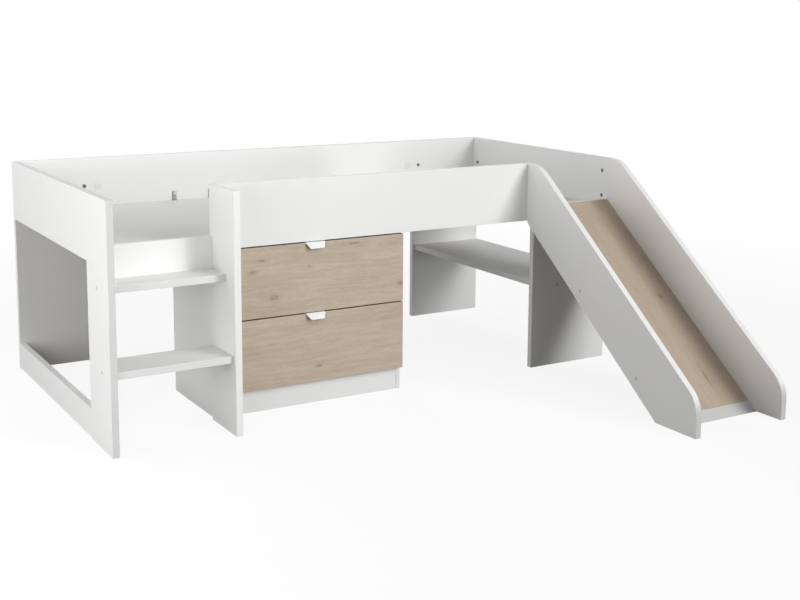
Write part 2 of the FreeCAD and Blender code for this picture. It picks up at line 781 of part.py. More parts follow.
# Angle brackets on the back rail, whose toes hold the base panels down
base_brackets = []
for joint_x in base_joints:
    for side in (-1, 1):
        number = len(base_brackets)
        bracket_x = joint_x + S.bracket_inset * side
        bracket_left = bracket_x - S.bracket_width / 2
        toe = block(
            f"bracket{number}_toe",
            (bracket_left, rear_inner - S.bracket_toe, base_top),
            (S.bracket_width, S.bracket_toe, S.bracket_metal),
        )
        leg = block(
            f"bracket{number}_leg",
            (bracket_left, rear_inner - S.bracket_metal, base_top),
            (S.bracket_width, S.bracket_metal, S.bracket_leg),
        )
        angle = fused(f"bracket{number}_angle", [toe, leg])
        head = (bracket_x, rear_inner - S.bracket_metal, base_top + S.bracket_leg * bracket_screw_share)
        hole = rod(
            f"bracket{number}_hole", shift(head, "-Y", S.overrun), "+Y",
            S.wood_screw_radius + S.fit, S.bracket_metal + 2 * S.overrun)
        wood_screws.append(wood_screw(
            f"bracket{number}_screw", head, "+Y", None, back_rail, S.bracket_metal, proud=True))
        base_brackets.append(without(f"bracket{number}", angle, hole))

# Drawers, their runners and rollers
front_height = (rail_bottom - 2 * S.drawer_gap - S.plinth_height - S.front_lift) / len(DRAWERS)
front_left = ladder_right + S.front_side_gap
front_right = chest_right - S.front_side_gap
front_middle = (front_left + front_right) / 2
box_left = cavity_left + S.runner_space
box_right = cavity_right - S.runner_space
drawer_depth = S.chest_depth - S.drawer_rear_gap
box_rear = rail_back + drawer_depth
runner_length = S.chest_depth - S.runner_rear_gap
web_start = S.runner_space - S.runner_metal
flange_start = S.runner_space - S.flange_reach
axle_room = S.axle_head + S.axle_head_gap
roller_width = web_start - S.runner_metal - 2 * S.roller_side_gap - axle_room
flange_rise = S.runner_metal + S.roller_gap + 2 * S.roller_radius + S.roller_gap
axle_rise = S.runner_metal + S.roller_gap + S.roller_radius
front_axle_y = chest_front + S.roller_inset
rear_axle_y = box_rear - S.roller_inset
SIDES = (("left", cavity_left, "+X"), ("right", cavity_right, "-X"))


def across(wall, inwards, start, end):
    """Where a stretch between two distances from a chest side begins, and its length."""
    low = wall + start if inwards == "+X" else wall - end
    return low, end - start


def roller_pair(label, axle_y, axle_z, start):
    """A pair of rollers on one axis, one at each side of the drawer."""
    tyres = []
    for side, wall, inwards in SIDES:
        low, width = across(wall, inwards, start, start + roller_width)
        tyre = rod(f"{label}_{side}_tyre", (low, axle_y, axle_z), "+X", S.roller_radius, roller_width)
        hole = rod(
            f"{label}_{side}_hole", (low - S.overrun, axle_y, axle_z), "+X",
            S.axle_radius + S.axle_fit, width + 2 * S.overrun)
        tyres.append(without(f"{label}_{side}", tyre, hole))
    group(label, tyres)


def axle(name, wall, inwards, spans, axle_y, axle_z):
    """A riveted axle: a pin with a head, given as stretches away from the chest side."""
    parts = []
    for number, (start, end, radius) in enumerate(spans, start=1):
        low, width = across(wall, inwards, start, end)
        parts.append(rod(f"{name}_{number}", (low, axle_y, axle_z), "+X", radius, width))
    return parts


def chest_runners(label, floor_z, holders):
    """Channels on the chest sides, each with an axle at its front end."""
    channel_height = 2 * S.runner_metal + S.roller_gap + 2 * S.roller_radius + S.lip_gap
    pair = []
    for side, wall, inwards in SIDES:
        web_x, web_width = across(wall, inwards, 0, S.runner_metal)
        floor_x, floor_width = across(wall, inwards, 0, web_start - S.channel_gap)
        lip_x, lip_width = across(wall, inwards, 0, flange_start - S.channel_gap)
        name = f"{label}_{side}"
        web = block(
            f"{name}_web", (web_x, chest_front, floor_z), (web_width, runner_length, channel_height))
        floor = block(
            f"{name}_floor",
            (floor_x, chest_front, floor_z),
            (floor_width, runner_length, S.runner_metal),
        )
        lip = block(
            f"{name}_lip",
            (lip_x, chest_front, floor_z + channel_height - S.runner_metal),
            (lip_width, runner_length, S.runner_metal),
        )
        pin_end = S.runner_metal + 2 * S.roller_side_gap + roller_width
        spans = (
            (0, pin_end, S.axle_radius),
            (pin_end, pin_end + S.axle_head, S.axle_head_radius),
        )
        pins = axle(f"{name}_axle", wall, inwards, spans, front_axle_y, floor_z + axle_rise)
        channel = fused(f"{name}_channel", [web, floor, lip] + pins)
        holes = []
        outwards = opposite(inwards)
        runner_rear = chest_front + runner_length
        for screw_y in (chest_front + S.runner_screw_inset, runner_rear - S.runner_screw_inset):
            number = len(wood_screws)
            seat = (wall, screw_y, floor_z + axle_rise)
            head = shift(seat, inwards, S.runner_metal)
            start = shift(head, inwards, S.overrun)
            holes.append(rod(
                f"{name}_hole{number}", start, outwards, S.wood_screw_head_radius + S.fit,
                S.runner_metal + S.overrun))
            bore(
                holders[side], seat, outwards,
                S.wood_screw_head_radius + S.fit, S.wood_screw_head - S.runner_metal + S.fit)
            wood_screws.append(wood_screw(
                f"wood_screw{number}", head, outwards, None, holders[side], S.runner_metal, proud=False))
        pair.append(without(name, channel, fused(f"{name}_holes", holes)))
    group(label, pair)


def drawer_runners(label, floor_z, holders, screws):
    """Angles on the drawer sides, each with a tab and an axle at its rear end."""
    pair = []
    for side, wall, inwards in SIDES:
        name = f"{label}_{side}"
        web_x, web_width = across(wall, inwards, web_start, S.runner_space)
        flange_x, flange_width = across(wall, inwards, flange_start, S.runner_space)
        flange_z = floor_z + flange_rise
        web = block(
            f"{name}_web", (web_x, rail_back, flange_z), (web_width, drawer_depth, S.runner_web))
        flange = block(
            f"{name}_flange",
            (flange_x, rail_back, flange_z),
            (flange_width, drawer_depth, S.runner_metal),
        )
        tab_bottom = floor_z + S.box_rise
        tab = block(
            f"{name}_tab", (web_x, box_rear - S.tab_length, tab_bottom),
            (web_width, S.tab_length, flange_z - tab_bottom))
        pin_end = web_start - 2 * S.roller_side_gap - roller_width
        spans = (
            (pin_end, S.runner_space, S.axle_radius),
            (pin_end - S.axle_head, pin_end, S.axle_head_radius),
        )
        pins = axle(f"{name}_axle", wall, inwards, spans, rear_axle_y, floor_z + axle_rise)
        angle = fused(f"{name}_angle", [web, flange, tab] + pins)
        holes = []
        for screw_y in (rail_back + S.runner_screw_inset, box_rear - S.runner_screw_inset):
            number = len(screws)
            seat = (wall, screw_y, flange_z + S.runner_web / 2)
            head = shift(seat, inwards, web_start)
            start = shift(head, opposite(inwards), S.overrun)
            holes.append(rod(
                f"{name}_hole{number}", start, inwards, S.wood_screw_radius + S.fit,
                S.runner_metal + 2 * S.overrun))
            screws.append(drawer_screw(
                f"{label}_screw{number}", head, inwards, holders[side], S.runner_metal))
        pair.append(without(name, angle, fused(f"{name}_holes", holes)))
    group(label, pair)


def drawer_screw(name, head, direction, inner, thickness):
    """A short screw through sheet metal into a board of a drawer."""
    return wood_screw(name, head, direction, None, inner, thickness, proud=True)


def tab_handle(label, front_top, front, screws):
    """A tapered tab that leans out from the top edge of a front, folded from sheet over that edge."""
    tab_length = root_of(S.handle_reach * S.handle_reach + S.handle_drop * S.handle_drop)
    face = S.handle_reach + S.handle_metal
    rear = face + S.board
    seat = S.handle_drop + S.handle_back_drop
    crest = seat + S.handle_metal
    foot = seat - S.handle_drop
    leg_end = seat - S.handle_back_drop
    corner = (front_middle - S.handle_width / 2, rail_front - face, front_top - seat)
    handle = Piece(label, corner)
    fold = handle.body.newObject("PartDesign::Pad", f"{label}_fold")
    fold.Profile = outline(
        handle,
        "YZ_Plane",
        (
            (S.handle_metal - S.handle_metal * S.handle_drop / tab_length,
             foot + S.handle_metal * S.handle_reach / tab_length),
            (S.handle_metal, foot),
            (face, seat),
            (rear, seat),
            (rear, leg_end),
            (rear + S.handle_metal, leg_end),
            (rear + S.handle_metal, crest),
            (face - S.handle_metal * (tab_length - S.handle_reach) / S.handle_drop, crest),
        ),
        "section",
    )
    bind(fold, Length=S.handle_width)
    taper = (S.handle_width - S.handle_foot_width) / 2
    for side, edge, inner_edge in (("left", 0, taper), ("right", S.handle_width, S.handle_width - taper)):
        doc.recompute()
        trim = handle.new_cut("Pocket")
        corners = ((edge, foot), (inner_edge, foot), (edge, seat))
        trim.Profile = outline(handle, "XZ_Plane", corners, f"{side}_trim")
        trim.Midplane = True
        bind(trim, Length=2 * face)
    for side in (-1, 1):
        number = len(screws)
        head = (
            front_middle + S.handle_screw_spacing / 2 * side,
            rail_back + S.handle_metal,
            front_top - S.handle_back_drop / 2,
        )
        bore(handle, head, "-Y", S.wood_screw_radius + S.fit, S.handle_metal + S.fit)
        screws.append(drawer_screw(f"{label}_screw{number}", head, "-Y", front, S.handle_metal))


def drawer(name, index):
    """One drawer with its front, box, handle and runners."""
    front_bottom = S.plinth_height + S.front_lift + (front_height + S.drawer_gap) * index
    floor_z = front_bottom + S.runner_rise
    box_bottom = floor_z + S.box_rise
    inner_left_x = box_left + S.drawer_board
    inner_width = box_right - box_left - 2 * S.drawer_board
    side_height = front_height - S.runner_rise - S.box_rise - S.drawer_side_drop
    side_size = (S.drawer_board, drawer_depth, side_height)
    front = board(
        f"{name}_drawer_front",
        (front_left, rail_front, front_bottom),
        (front_right - front_left, S.board, front_height),
    )
    left_side = board(f"{name}_drawer_left_side", (box_left, rail_back, box_bottom), side_size)
    right_side = board(
        f"{name}_drawer_right_side", (box_right - S.drawer_board, rail_back, box_bottom), side_size)
    back = board(
        f"{name}_drawer_back",
        (inner_left_x, box_rear - S.drawer_board, box_bottom),
        (inner_width, S.drawer_board, side_height),
    )
    bottom_z = box_bottom + S.groove_rise
    bottom_at = (inner_left_x - S.groove_depth, rail_back - S.groove_depth, bottom_z)
    bottom_size = (
        inner_width + 2 * S.groove_depth,
        drawer_depth - S.drawer_board + 2 * S.groove_depth,
        S.drawer_bottom_thickness,
    )
    board(f"{name}_drawer_bottom", bottom_at, bottom_size, eased=False)
    slot_at = tuple(value - S.groove_play for value in bottom_at)
    slot_size = tuple(value + 2 * S.groove_play for value in bottom_size)
    for piece in (front, left_side, right_side, back):
        groove(piece, slot_at, slot_size)
    screws = []
    tab_handle(f"{name}_drawer_handle", front_bottom + front_height, front, screws)
    chest_runners(f"{name}_chest_runners", floor_z, {"left": chest_left_side, "right": chest_right_side})
    drawer_runners(f"{name}_drawer_runners", floor_z, {"left": left_side, "right": right_side}, screws)
    axle_z = floor_z + axle_rise
    roller_pair(f"{name}_chest_rollers", front_axle_y, axle_z, S.runner_metal + S.roller_side_gap)
    roller_pair(
        f"{name}_drawer_rollers", rear_axle_y, axle_z, web_start - S.roller_side_gap - roller_width)
    group(f"{name}_drawer_screws", screws)


for drawer_index, drawer_name in enumerate(DRAWERS):
    drawer(drawer_name, drawer_index)

group("assembly_screws", assembly_screws)
group("cover_caps", cover_caps)
group("cam_locks", cam_locks)
group("cam_bolts", cam_bolts)
group("wood_screws", wood_screws)
group("base_brackets", base_brackets)
group("joint_cover_plates", cover_plates)

# Build everything, refuse to write a broken model, then write one file for each node
doc.recompute()
failed = [thing.Name for thing in doc.Objects if {"Invalid", "Error"} & set(thing.State)]
if failed:
    raise RuntimeError(f"failed objects: {failed}")
for label, thing in nodes.items():
    if thing.Shape.isNull() or not thing.Shape.isValid():
        raise RuntimeError(f"bad shape: {label}")
os.makedirs("parts", exist_ok=True)
for label, thing in nodes.items():
    thing.Shape.exportStep(f"parts/{label}.step")
    print(label, len(thing.Shape.Solids), round(thing.Shape.Volume))
print(len(nodes), "nodes")
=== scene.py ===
"""Finishes, small hardware, studio and camera for a kids bed with a ladder, a drawer chest and a slide."""

import logging
import math
from dataclasses import dataclass, replace
from enum import Enum
from functools import cache
from typing import Iterable, Sequence

import bmesh
import bpy
from mathutils import Matrix, Quaternion, Vector


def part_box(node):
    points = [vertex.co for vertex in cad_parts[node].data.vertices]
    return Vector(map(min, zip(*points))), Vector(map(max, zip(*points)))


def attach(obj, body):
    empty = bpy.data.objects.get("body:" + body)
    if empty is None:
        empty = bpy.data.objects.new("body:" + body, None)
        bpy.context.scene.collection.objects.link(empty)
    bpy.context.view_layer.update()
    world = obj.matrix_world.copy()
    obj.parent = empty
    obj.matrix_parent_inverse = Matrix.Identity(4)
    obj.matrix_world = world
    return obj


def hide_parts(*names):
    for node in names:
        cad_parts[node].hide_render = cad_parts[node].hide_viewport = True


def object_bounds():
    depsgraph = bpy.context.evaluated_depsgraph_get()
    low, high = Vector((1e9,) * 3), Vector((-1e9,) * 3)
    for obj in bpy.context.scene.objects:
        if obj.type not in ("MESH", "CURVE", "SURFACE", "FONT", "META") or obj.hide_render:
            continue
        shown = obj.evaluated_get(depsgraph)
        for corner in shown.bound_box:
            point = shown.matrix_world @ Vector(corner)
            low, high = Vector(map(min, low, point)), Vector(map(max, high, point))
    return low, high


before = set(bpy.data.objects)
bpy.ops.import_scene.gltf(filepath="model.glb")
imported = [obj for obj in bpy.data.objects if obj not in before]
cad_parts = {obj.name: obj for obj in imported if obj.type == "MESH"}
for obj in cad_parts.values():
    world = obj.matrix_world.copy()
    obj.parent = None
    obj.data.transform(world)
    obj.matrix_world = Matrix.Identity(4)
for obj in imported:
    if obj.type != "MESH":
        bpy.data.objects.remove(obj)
CAD_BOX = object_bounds()

LOG = logging.getLogger("kids_bed")

MM = 0.001
WELD = 0.01 * MM
SMOOTH_ANGLE = math.radians(32)
PLAIN_WHITE = (1.0, 1.0, 1.0, 1.0)

Colour = tuple[float, float, float, float]
Socket = bpy.types.NodeSocket
Feed = Socket | float | Sequence[float]
Feeds = dict[int | str, Feed]
Profile = Sequence[tuple[float, float]]


def screen_colour(red: int, green: int, blue: int) -> Colour:
    """Turn a colour as a screen shows it into the linear colour that a shader takes.

    Args:
        red: Red, from 0 to 255.
        green: Green, from 0 to 255.
        blue: Blue, from 0 to 255.

    Returns:
        The linear colour, with full alpha.
    """
    # The curve of the sRGB standard
    toe, toe_slope, offset, power = 0.04045, 12.92, 0.055, 2.4
    shares = [value / 255 for value in (red, green, blue)]
    linear = [s / toe_slope if s <= toe else ((s + offset) / (1 + offset)) ** power for s in shares]
    return (linear[0], linear[1], linear[2], 1.0)


class Axis(Enum):
    """A direction of the frame: X from ladder to slide, Y from front to rear, Z up."""

    X = 0
    Y = 1
    Z = 2

    @property
    def vector(self) -> Vector:
        """The unit vector along this direction."""
        return Vector([float(i == self.value) for i in range(3)])


class Recess(Enum):
    """The driver recess in the head of a fastener."""

    CROSS = "cross"
    HEXAGON = "hexagon"

    def outline(self, radius: float, arm_share: float = 0.28) -> Profile:
        """Give the corners of the recess, in order round it.

        Args:
            radius: From the middle to the tips of the recess.
            arm_share: Half the width of a cross arm, as a share of the radius.

        Returns:
            Points in the plane of the head.
        """
        if self is Recess.HEXAGON:
            turns = [math.tau * i / 6 for i in range(6)]
            return [(radius * math.cos(a), radius * math.sin(a)) for a in turns]
        arm = radius * arm_share
        corners = []
        for quarter in range(4):
            turn = Matrix.Rotation(quarter * math.pi / 2, 2)
            corners += [tuple(turn @ Vector(p)) for p in ((radius, -arm), (radius, arm), (arm, arm))]
        return corners


class Tree:
    """A shader node tree, with short ways to add and join its nodes."""

    def __init__(self, tree: bpy.types.NodeTree) -> None:
        """Keep the tree that the nodes go into."""
        self.tree = tree

    def add(self, kind: str, feeds: Feeds | None = None, **settings: object) -> bpy.types.Node:
        """Add a node.

        Args:
            kind: The node's type.
            feeds: What goes into its sockets, by name or number: other sockets, which are linked, or values.
            **settings: Properties of the node.

        Returns:
            The new node.
        """
        node = self.tree.nodes.new(kind)
        for name, value in settings.items():
            setattr(node, name, value)
        for key, value in (feeds or {}).items():
            if isinstance(value, Socket):
                self.tree.links.new(value, node.inputs[key])
            else:
                node.inputs[key].default_value = value
        return node

    def math(self, operation: str, *values: Feed) -> Socket:
        """Combine values with a Math node, and give its result."""
        return self.add("ShaderNodeMath", dict(enumerate(values)), operation=operation).outputs[0]

    def fall(self, value: Feed, rate: float) -> Socket:
        """Give e to the power of the value times a rate."""
        return self.math("POWER", math.e, self.math("MULTIPLY", value, rate))

    def vector(self, operation: str, *values: Feed, result: str = "Vector") -> Socket:
        """Combine vectors with a Vector Math node, and give one of its results."""
        return self.add("ShaderNodeVectorMath", dict(enumerate(values)), operation=operation).outputs[result]

    def tint(self, colour: Feed, share: Feed) -> Socket:
        """Scale a colour by a share, and give the result."""
        return self.add("ShaderNodeVectorMath", {0: colour, 3: share}, operation="SCALE").outputs[0]

    def height(self, vector: Feed) -> Socket:
        """Give the Z of a vector."""
        return self.add("ShaderNodeSeparateXYZ", {0: vector}).outputs["Z"]

    def lift(self, vector: Feed, height: Feed) -> Socket:
        """Move a vector along Z, and give the result."""
        return self.vector("ADD", vector, self.add("ShaderNodeCombineXYZ", {"Z": height}).outputs[0])

    def noise(self, vector: Feed, scale: Feed, detail: float = 2.0, roughness: float = 0.5) -> Socket:
        """Add a noise, and give its value."""
        feeds = {"Vector": vector, "Scale": scale, "Detail": detail, "Roughness": roughness}
        return self.add("ShaderNodeTexNoise", feeds).outputs[0]

    def drawn(
            self, vector: Feed, scale: Sequence[float], detail: float = 2.0,
            roughness: float = 0.5) -> Socket:
        """Add a noise that is drawn out, with its own scale along each direction, and give its value."""
        place = self.add("ShaderNodeMapping", {"Vector": vector, "Scale": scale}).outputs[0]
        return self.noise(place, 1.0, detail, roughness)

    def ease(self, value: Feed, low: float, high: float, start: float = 0.0, end: float = 1.0) -> Socket:
        """Run smoothly from start to end as the value goes from low to high."""
        feeds = dict(enumerate((value, low, high, start, end)))
        return self.add("ShaderNodeMapRange", feeds, interpolation_type="SMOOTHSTEP").outputs[0]

    def line(self, value: Feed, start: Feed, end: Feed) -> Socket:
        """Run straight from start to end as the value goes from 0 to 1."""
        return self.add("ShaderNodeMapRange", {0: value, 3: start, 4: end}, clamp=False).outputs[0]

    def blend(self, share: Feed, first: Feed, second: Feed) -> Socket:
        """Mix two colours, and give the result."""
        return self.add("ShaderNodeMix", {0: share, 6: first, 7: second}, data_type="RGBA").outputs[2]

    def effect(self, group: bpy.types.NodeTree, feeds: Feeds) -> bpy.types.NodeOutputs:
        """Place a shared effect in this tree, and give its outputs."""
        return self.add("ShaderNodeGroup", feeds, node_tree=group).outputs

    def surface(self, output: str, share: Feed, first: bpy.types.Node, second: bpy.types.Node) -> None:
        """Mix two shaders, and link them to the output node of that name."""
        mixed = self.add("ShaderNodeMixShader", {0: share, 1: first.outputs[0], 2: second.outputs[0]})
        self.tree.links.new(mixed.outputs[0], self.tree.nodes[output].inputs["Surface"])


class Effect:
    """A shared effect: a node group with named inputs and outputs."""

    def __init__(self, name: str, inputs: dict[str, str], outputs: Sequence[str]) -> None:
        """Make an empty group.

        Args:
            name: The group's name.
            inputs: The kind of each input, Float or Vector, by its name.
            outputs: Names of the outputs, of which one called Vector is a vector and the rest are values.
        """
        self.group = bpy.data.node_groups.new(name, "ShaderNodeTree")
        for label, kind in inputs.items():
            self.group.interface.new_socket(label, in_out="INPUT", socket_type=f"NodeSocket{kind}")
        for label in outputs:
            kind = "Vector" if label == "Vector" else "Float"
            self.group.interface.new_socket(label, in_out="OUTPUT", socket_type=f"NodeSocket{kind}")
        self.tree = Tree(self.group)
        self.given = self.tree.add("NodeGroupInput").outputs
        self.result = self.tree.add("NodeGroupOutput")

    def close(self, **results: Socket) -> bpy.types.NodeTree:
        """Link the outputs, and give the finished group.

        Args:
            **results: The socket that goes to each output, by the output's name.

        Returns:
            The group.
        """
        for label, socket in results.items():
            self.group.links.new(socket, self.result.inputs[label])
        return self.group


@cache
def surface_grit() -> bpy.types.NodeTree:
    """The slight unevenness of a coat, a moulding or a metal skin.

    Returns:
        A group with a broad Drift of tone, a fine Grit and a Height for bumps.
    """
    drift_scale, pit_range = 3.1, (0.3, 0.7)
    effect = Effect("surface_grit", {"Vector": "Vector", "Scale": "Float"}, ("Drift", "Grit", "Height"))
    tree, vector = effect.tree, effect.given["Vector"]
    drift = tree.noise(vector, drift_scale, detail=3.0)
    grit = tree.noise(vector, effect.given["Scale"], roughness=0.6)
    return effect.close(Drift=drift, Grit=grit, Height=tree.ease(grit, *pit_range))


@cache
def edge_band() -> bpy.types.NodeTree:
    """Where a board shows its banded edges and not its faces.

    Returns:
        A group that takes the Normal and the direction Across the board, and gives a Mask.
    """
    edge_ends, face_begins = 0.35, 0.75
    effect = Effect("edge_band", {"Normal": "Vector", "Across": "Vector"}, ("Mask",))
    tree = effect.tree
    facing = tree.vector("DOT_PRODUCT", effect.given["Normal"], effect.given["Across"], result="Value")
    return effect.close(Mask=tree.ease(tree.math("ABSOLUTE", facing), edge_ends, face_begins, 1.0, 0.0))


@cache
def knot() -> bpy.types.NodeTree:
    """A knot, which darkens the timber and makes its fibres flow round it.

    Returns:
        A group that bends the Vector, whose X runs along the grain, and gives the knot's Mask.
    """
    rag_scale, rag_range = 70.0, (0.45, 1.55)
    core_range, halo_fall, halo_share = (0.15, 1.3), -0.22, 0.42
    flow_fall, flow_share = -0.07, -0.75
    inputs = {"Vector": "Vector", "Centre": "Vector", "Length": "Float", "Height": "Float"}
    effect = Effect("knot", inputs, ("Vector", "Mask"))
    tree, vector = effect.tree, effect.given["Vector"]
    away = tree.vector("SUBTRACT", vector, effect.given["Centre"])
    parts = tree.add("ShaderNodeSeparateXYZ", {0: away}).outputs
    along = tree.math("DIVIDE", parts["X"], effect.given["Length"])
    across = tree.math("DIVIDE", parts["Z"], effect.given["Height"])
    reach = tree.math("ADD", tree.math("MULTIPLY", along, along), tree.math("MULTIPLY", across, across))
    rag = tree.noise(vector, rag_scale, detail=3.0)
    ragged = tree.math("MULTIPLY", reach, tree.line(rag, *rag_range))
    near = tree.math("MULTIPLY", parts["Z"], tree.fall(reach, flow_fall))
    bent = tree.lift(vector, tree.math("MULTIPLY", near, flow_share))
    core = tree.ease(ragged, *core_range, 1.0, 0.0)
    halo = tree.math("MULTIPLY", tree.fall(ragged, halo_fall), halo_share)
    return effect.close(Vector=bent, Mask=tree.math("MAXIMUM", core, halo))


@cache
def timber_grain() -> bpy.types.NodeTree:
    """Long fibres, growth rings and pores of a sawn board.

    Returns:
        A group that takes a Vector whose X runs along the grain, and gives Tone, Pores and Height.
    """
    # Scales of the noises along the grain, through the board and across the grain
    wave_scale, broad_scale, streak_scale = (1.6, 4.0, 7.0), (2.6, 12.0, 24.0), (13.0, 55.0, 80.0)
    fibre_scale, ring_scale, pore_scale = (16.0, 300.0, 900.0), (1.1, 2.0, 5.0), (55.0, 700.0, 1900.0)
    broad_share, streak_share, ring_share, fibre_share = 0.40, 0.32, 0.06, 0.22
    wave, tone_range, pore_range, fibre_relief = 0.03, (0.25, 0.75), (0.62, 0.72), 0.4
    rings_in_a_metre, ring_wander, ring_half, ring_range = 46.0, 4.5, 0.5, (0.0, 0.35)
    effect = Effect("timber_grain", {"Vector": "Vector"}, ("Tone", "Pores", "Height"))
    tree, vector = effect.tree, effect.given["Vector"]
    wavy = tree.lift(vector, tree.line(tree.drawn(vector, wave_scale, detail=3.0), -wave, wave))
    broad = tree.drawn(wavy, broad_scale, detail=3.0)
    streaks = tree.drawn(wavy, streak_scale, detail=4.0, roughness=0.65)
    fibres = tree.drawn(wavy, fibre_scale)
    wander = tree.math("MULTIPLY", tree.drawn(vector, ring_scale), ring_wander)
    phase = tree.math("ADD", tree.math("MULTIPLY", tree.height(wavy), rings_in_a_metre), wander)
    rings = tree.math("PINGPONG", phase, ring_half)
    tone = tree.math("MULTIPLY", tree.ease(broad, *tone_range), broad_share)
    tone = tree.math("MULTIPLY_ADD", tree.ease(streaks, *tone_range), streak_share, tone)
    tone = tree.math("MULTIPLY_ADD", tree.ease(rings, *ring_range), ring_share, tone)
    tone = tree.math("MULTIPLY_ADD", fibres, fibre_share, tone)
    pores = tree.ease(tree.drawn(wavy, pore_scale, detail=1.0), *pore_range)
    relief = tree.math("SUBTRACT", tree.math("MULTIPLY", fibres, fibre_relief), pores)
    return effect.close(Tone=tone, Pores=pores, Height=relief)


@dataclass(frozen=True)
class Finish:
    """A finish that dresses nodes of the frame and pieces made here.

    Attributes:
        name: The material's name.
        colour: Its main colour.
        roughness: Its middle roughness.
    """

    name: str
    colour: Colour
    roughness: float

    def material(self) -> bpy.types.Material:
        """Give the material, which is built the first time.

        Returns:
            The material that has this finish's name.
        """
        made = bpy.data.materials.get(self.name)
        if made is None:
            made = bpy.data.materials.new(self.name)
            made.use_nodes = True
            self.shade(Tree(made.node_tree), made.node_tree.nodes["Principled BSDF"])
        return made

    def shade(self, tree: Tree, shader: bpy.types.Node) -> None:
        """Link the finish to the shader; each kind of finish has its own way."""
        raise NotImplementedError

    def dress(self, *nodes: str) -> None:
        """Put this finish on nodes of the frame.

        Args:
            *nodes: Names of the nodes.
        """
        for node in nodes:
            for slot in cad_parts[node].material_slots:
                slot.material = self.material()

    @staticmethod
    def edges(tree: Tree, normal: Socket, across: Vector) -> Socket:
        """Give the mask of a board's banded edges."""
        return tree.effect(edge_band(), {"Normal": normal, "Across": across})["Mask"]

    @staticmethod
    def link(tree: Tree, shader: bpy.types.Node, colour: Socket, roughness: Socket) -> None:
        """Link a colour and a roughness that change over the surface."""
        tree.tree.links.new(colour, shader.inputs["Base Color"])
        tree.tree.links.new(roughness, shader.inputs["Roughness"])

    @staticmethod
    def emboss(tree: Tree, shader: bpy.types.Node, height: Socket, depth: float) -> None:
        """Link a relief of a given depth in metres to the shader's normal."""
        bump = tree.add("ShaderNodeBump", {"Height": height, "Distance": depth, "Strength": 1.0})
        tree.tree.links.new(bump.outputs[0], shader.inputs["Normal"])


@dataclass(frozen=True)
class Coat(Finish):
    """An opaque skin: melamine, lacquer, powder coat, moulded plastic or plated metal.

    Attributes:
        drift: Share by which the tone wanders over the piece.
        spread: By how much the roughness wanders.
        grit: Bumps of the surface in a metre.
        depth: Depth of the bumps in metres.
        metallic: 1 on bare metal.
        across: The direction across a board whose edges are banded.
        edge_roughness: Roughness of those edges, as a share of the faces' roughness.
        edge_tone_and_painted_light: Tone of those edges, as a share of the faces' tone; near 1 it is the
            banding's own tone, well over 1 a painted highlight and well under 1 painted shade.
        upright_painted_shade: The same for edges that stand upright, where it differs; it is used as painted
            shade.
        sill: Height under which edges that face up lie in a cut-out, and keep the faces' tone without painted
            shade.
    """

    drift: float = 0.03
    spread: float = 0.10
    grit: float = 900.0
    depth: float = 0.01 * MM
    metallic: float = 0.0
    across: Vector | None = None
    edge_roughness: float = 0.8
    edge_tone_and_painted_light: float = 0.99
    upright_painted_shade: float | None = None
    sill: float = 0.0

    def shade(self, tree: Tree, shader: bpy.types.Node) -> None:
        """Drift the tone and the roughness, emboss the grit and set off a board's edges, on some boards with
        a painted highlight and painted shade.

        Args:
            tree: The material's nodes.
            shader: Its Principled node.
        """
        place = tree.add("ShaderNodeTexCoord").outputs
        grit = tree.effect(surface_grit(), {"Vector": place["Object"], "Scale": self.grit})
        tone = tree.line(grit["Drift"], 1 - self.drift, 1 + self.drift)
        rough = tree.line(grit["Grit"], self.roughness - self.spread, self.roughness + self.spread)
        if self.across is not None:
            band = self.edges(tree, place["Normal"], self.across)
            rough = tree.math("MULTIPLY", rough, tree.line(band, 1.0, self.edge_roughness))
            tone = tree.math("MULTIPLY", tone, self.shade_edges(tree, place, band))
        self.link(tree, shader, tree.tint(self.colour[:3], tone), rough)
        self.emboss(tree, shader, grit["Height"], self.depth)
        shader.inputs["Metallic"].default_value = self.metallic

    def shade_edges(self, tree: Tree, place: bpy.types.NodeOutputs, band: Socket) -> Socket:
        """Set the tone of a board's edges against that of its faces; on some boards this tone is a painted
        highlight and painted shade.

        Args:
            tree: The material's nodes.
            place: Outputs of its Texture Coordinate node.
            band: The mask of the edges.

        Returns:
            The share by which the tone changes, which is 1 on the faces.
        """
        upright_range, facing_up = (0.1, 0.85), 0.5
        tone = self.edge_tone_and_painted_light
        # Upright edges get their own tone, which on the slide's sides is painted shade
        if self.upright_painted_shade is not None:
            tone = tree.ease(tree.height(place["Normal"]), *upright_range, self.upright_painted_shade, self.edge_tone_and_painted_light)
        # Edges that face up low in a window's cut-out keep the faces' tone, without painted shade
        if self.sill > 0:
            over = tree.math("GREATER_THAN", tree.height(place["Object"]), self.sill)
            aside = tree.math("LESS_THAN", tree.height(place["Normal"]), facing_up)
            band = tree.math("MULTIPLY", band, tree.math("MAXIMUM", over, aside))
        return tree.line(band, 1.0, tone)


@dataclass(frozen=True)
class Knot:
    """A knot of a timber finish, in metres along and across its grain.

    Attributes:
        along: Its place along the grain.
        across: Its place across the grain.
        length: Half its length.
        height: Half its height.
        strength: Share of the knot's own colour at its middle.
    """

    along: float
    across: float
    length: float
    height: float
    strength: float = 0.6


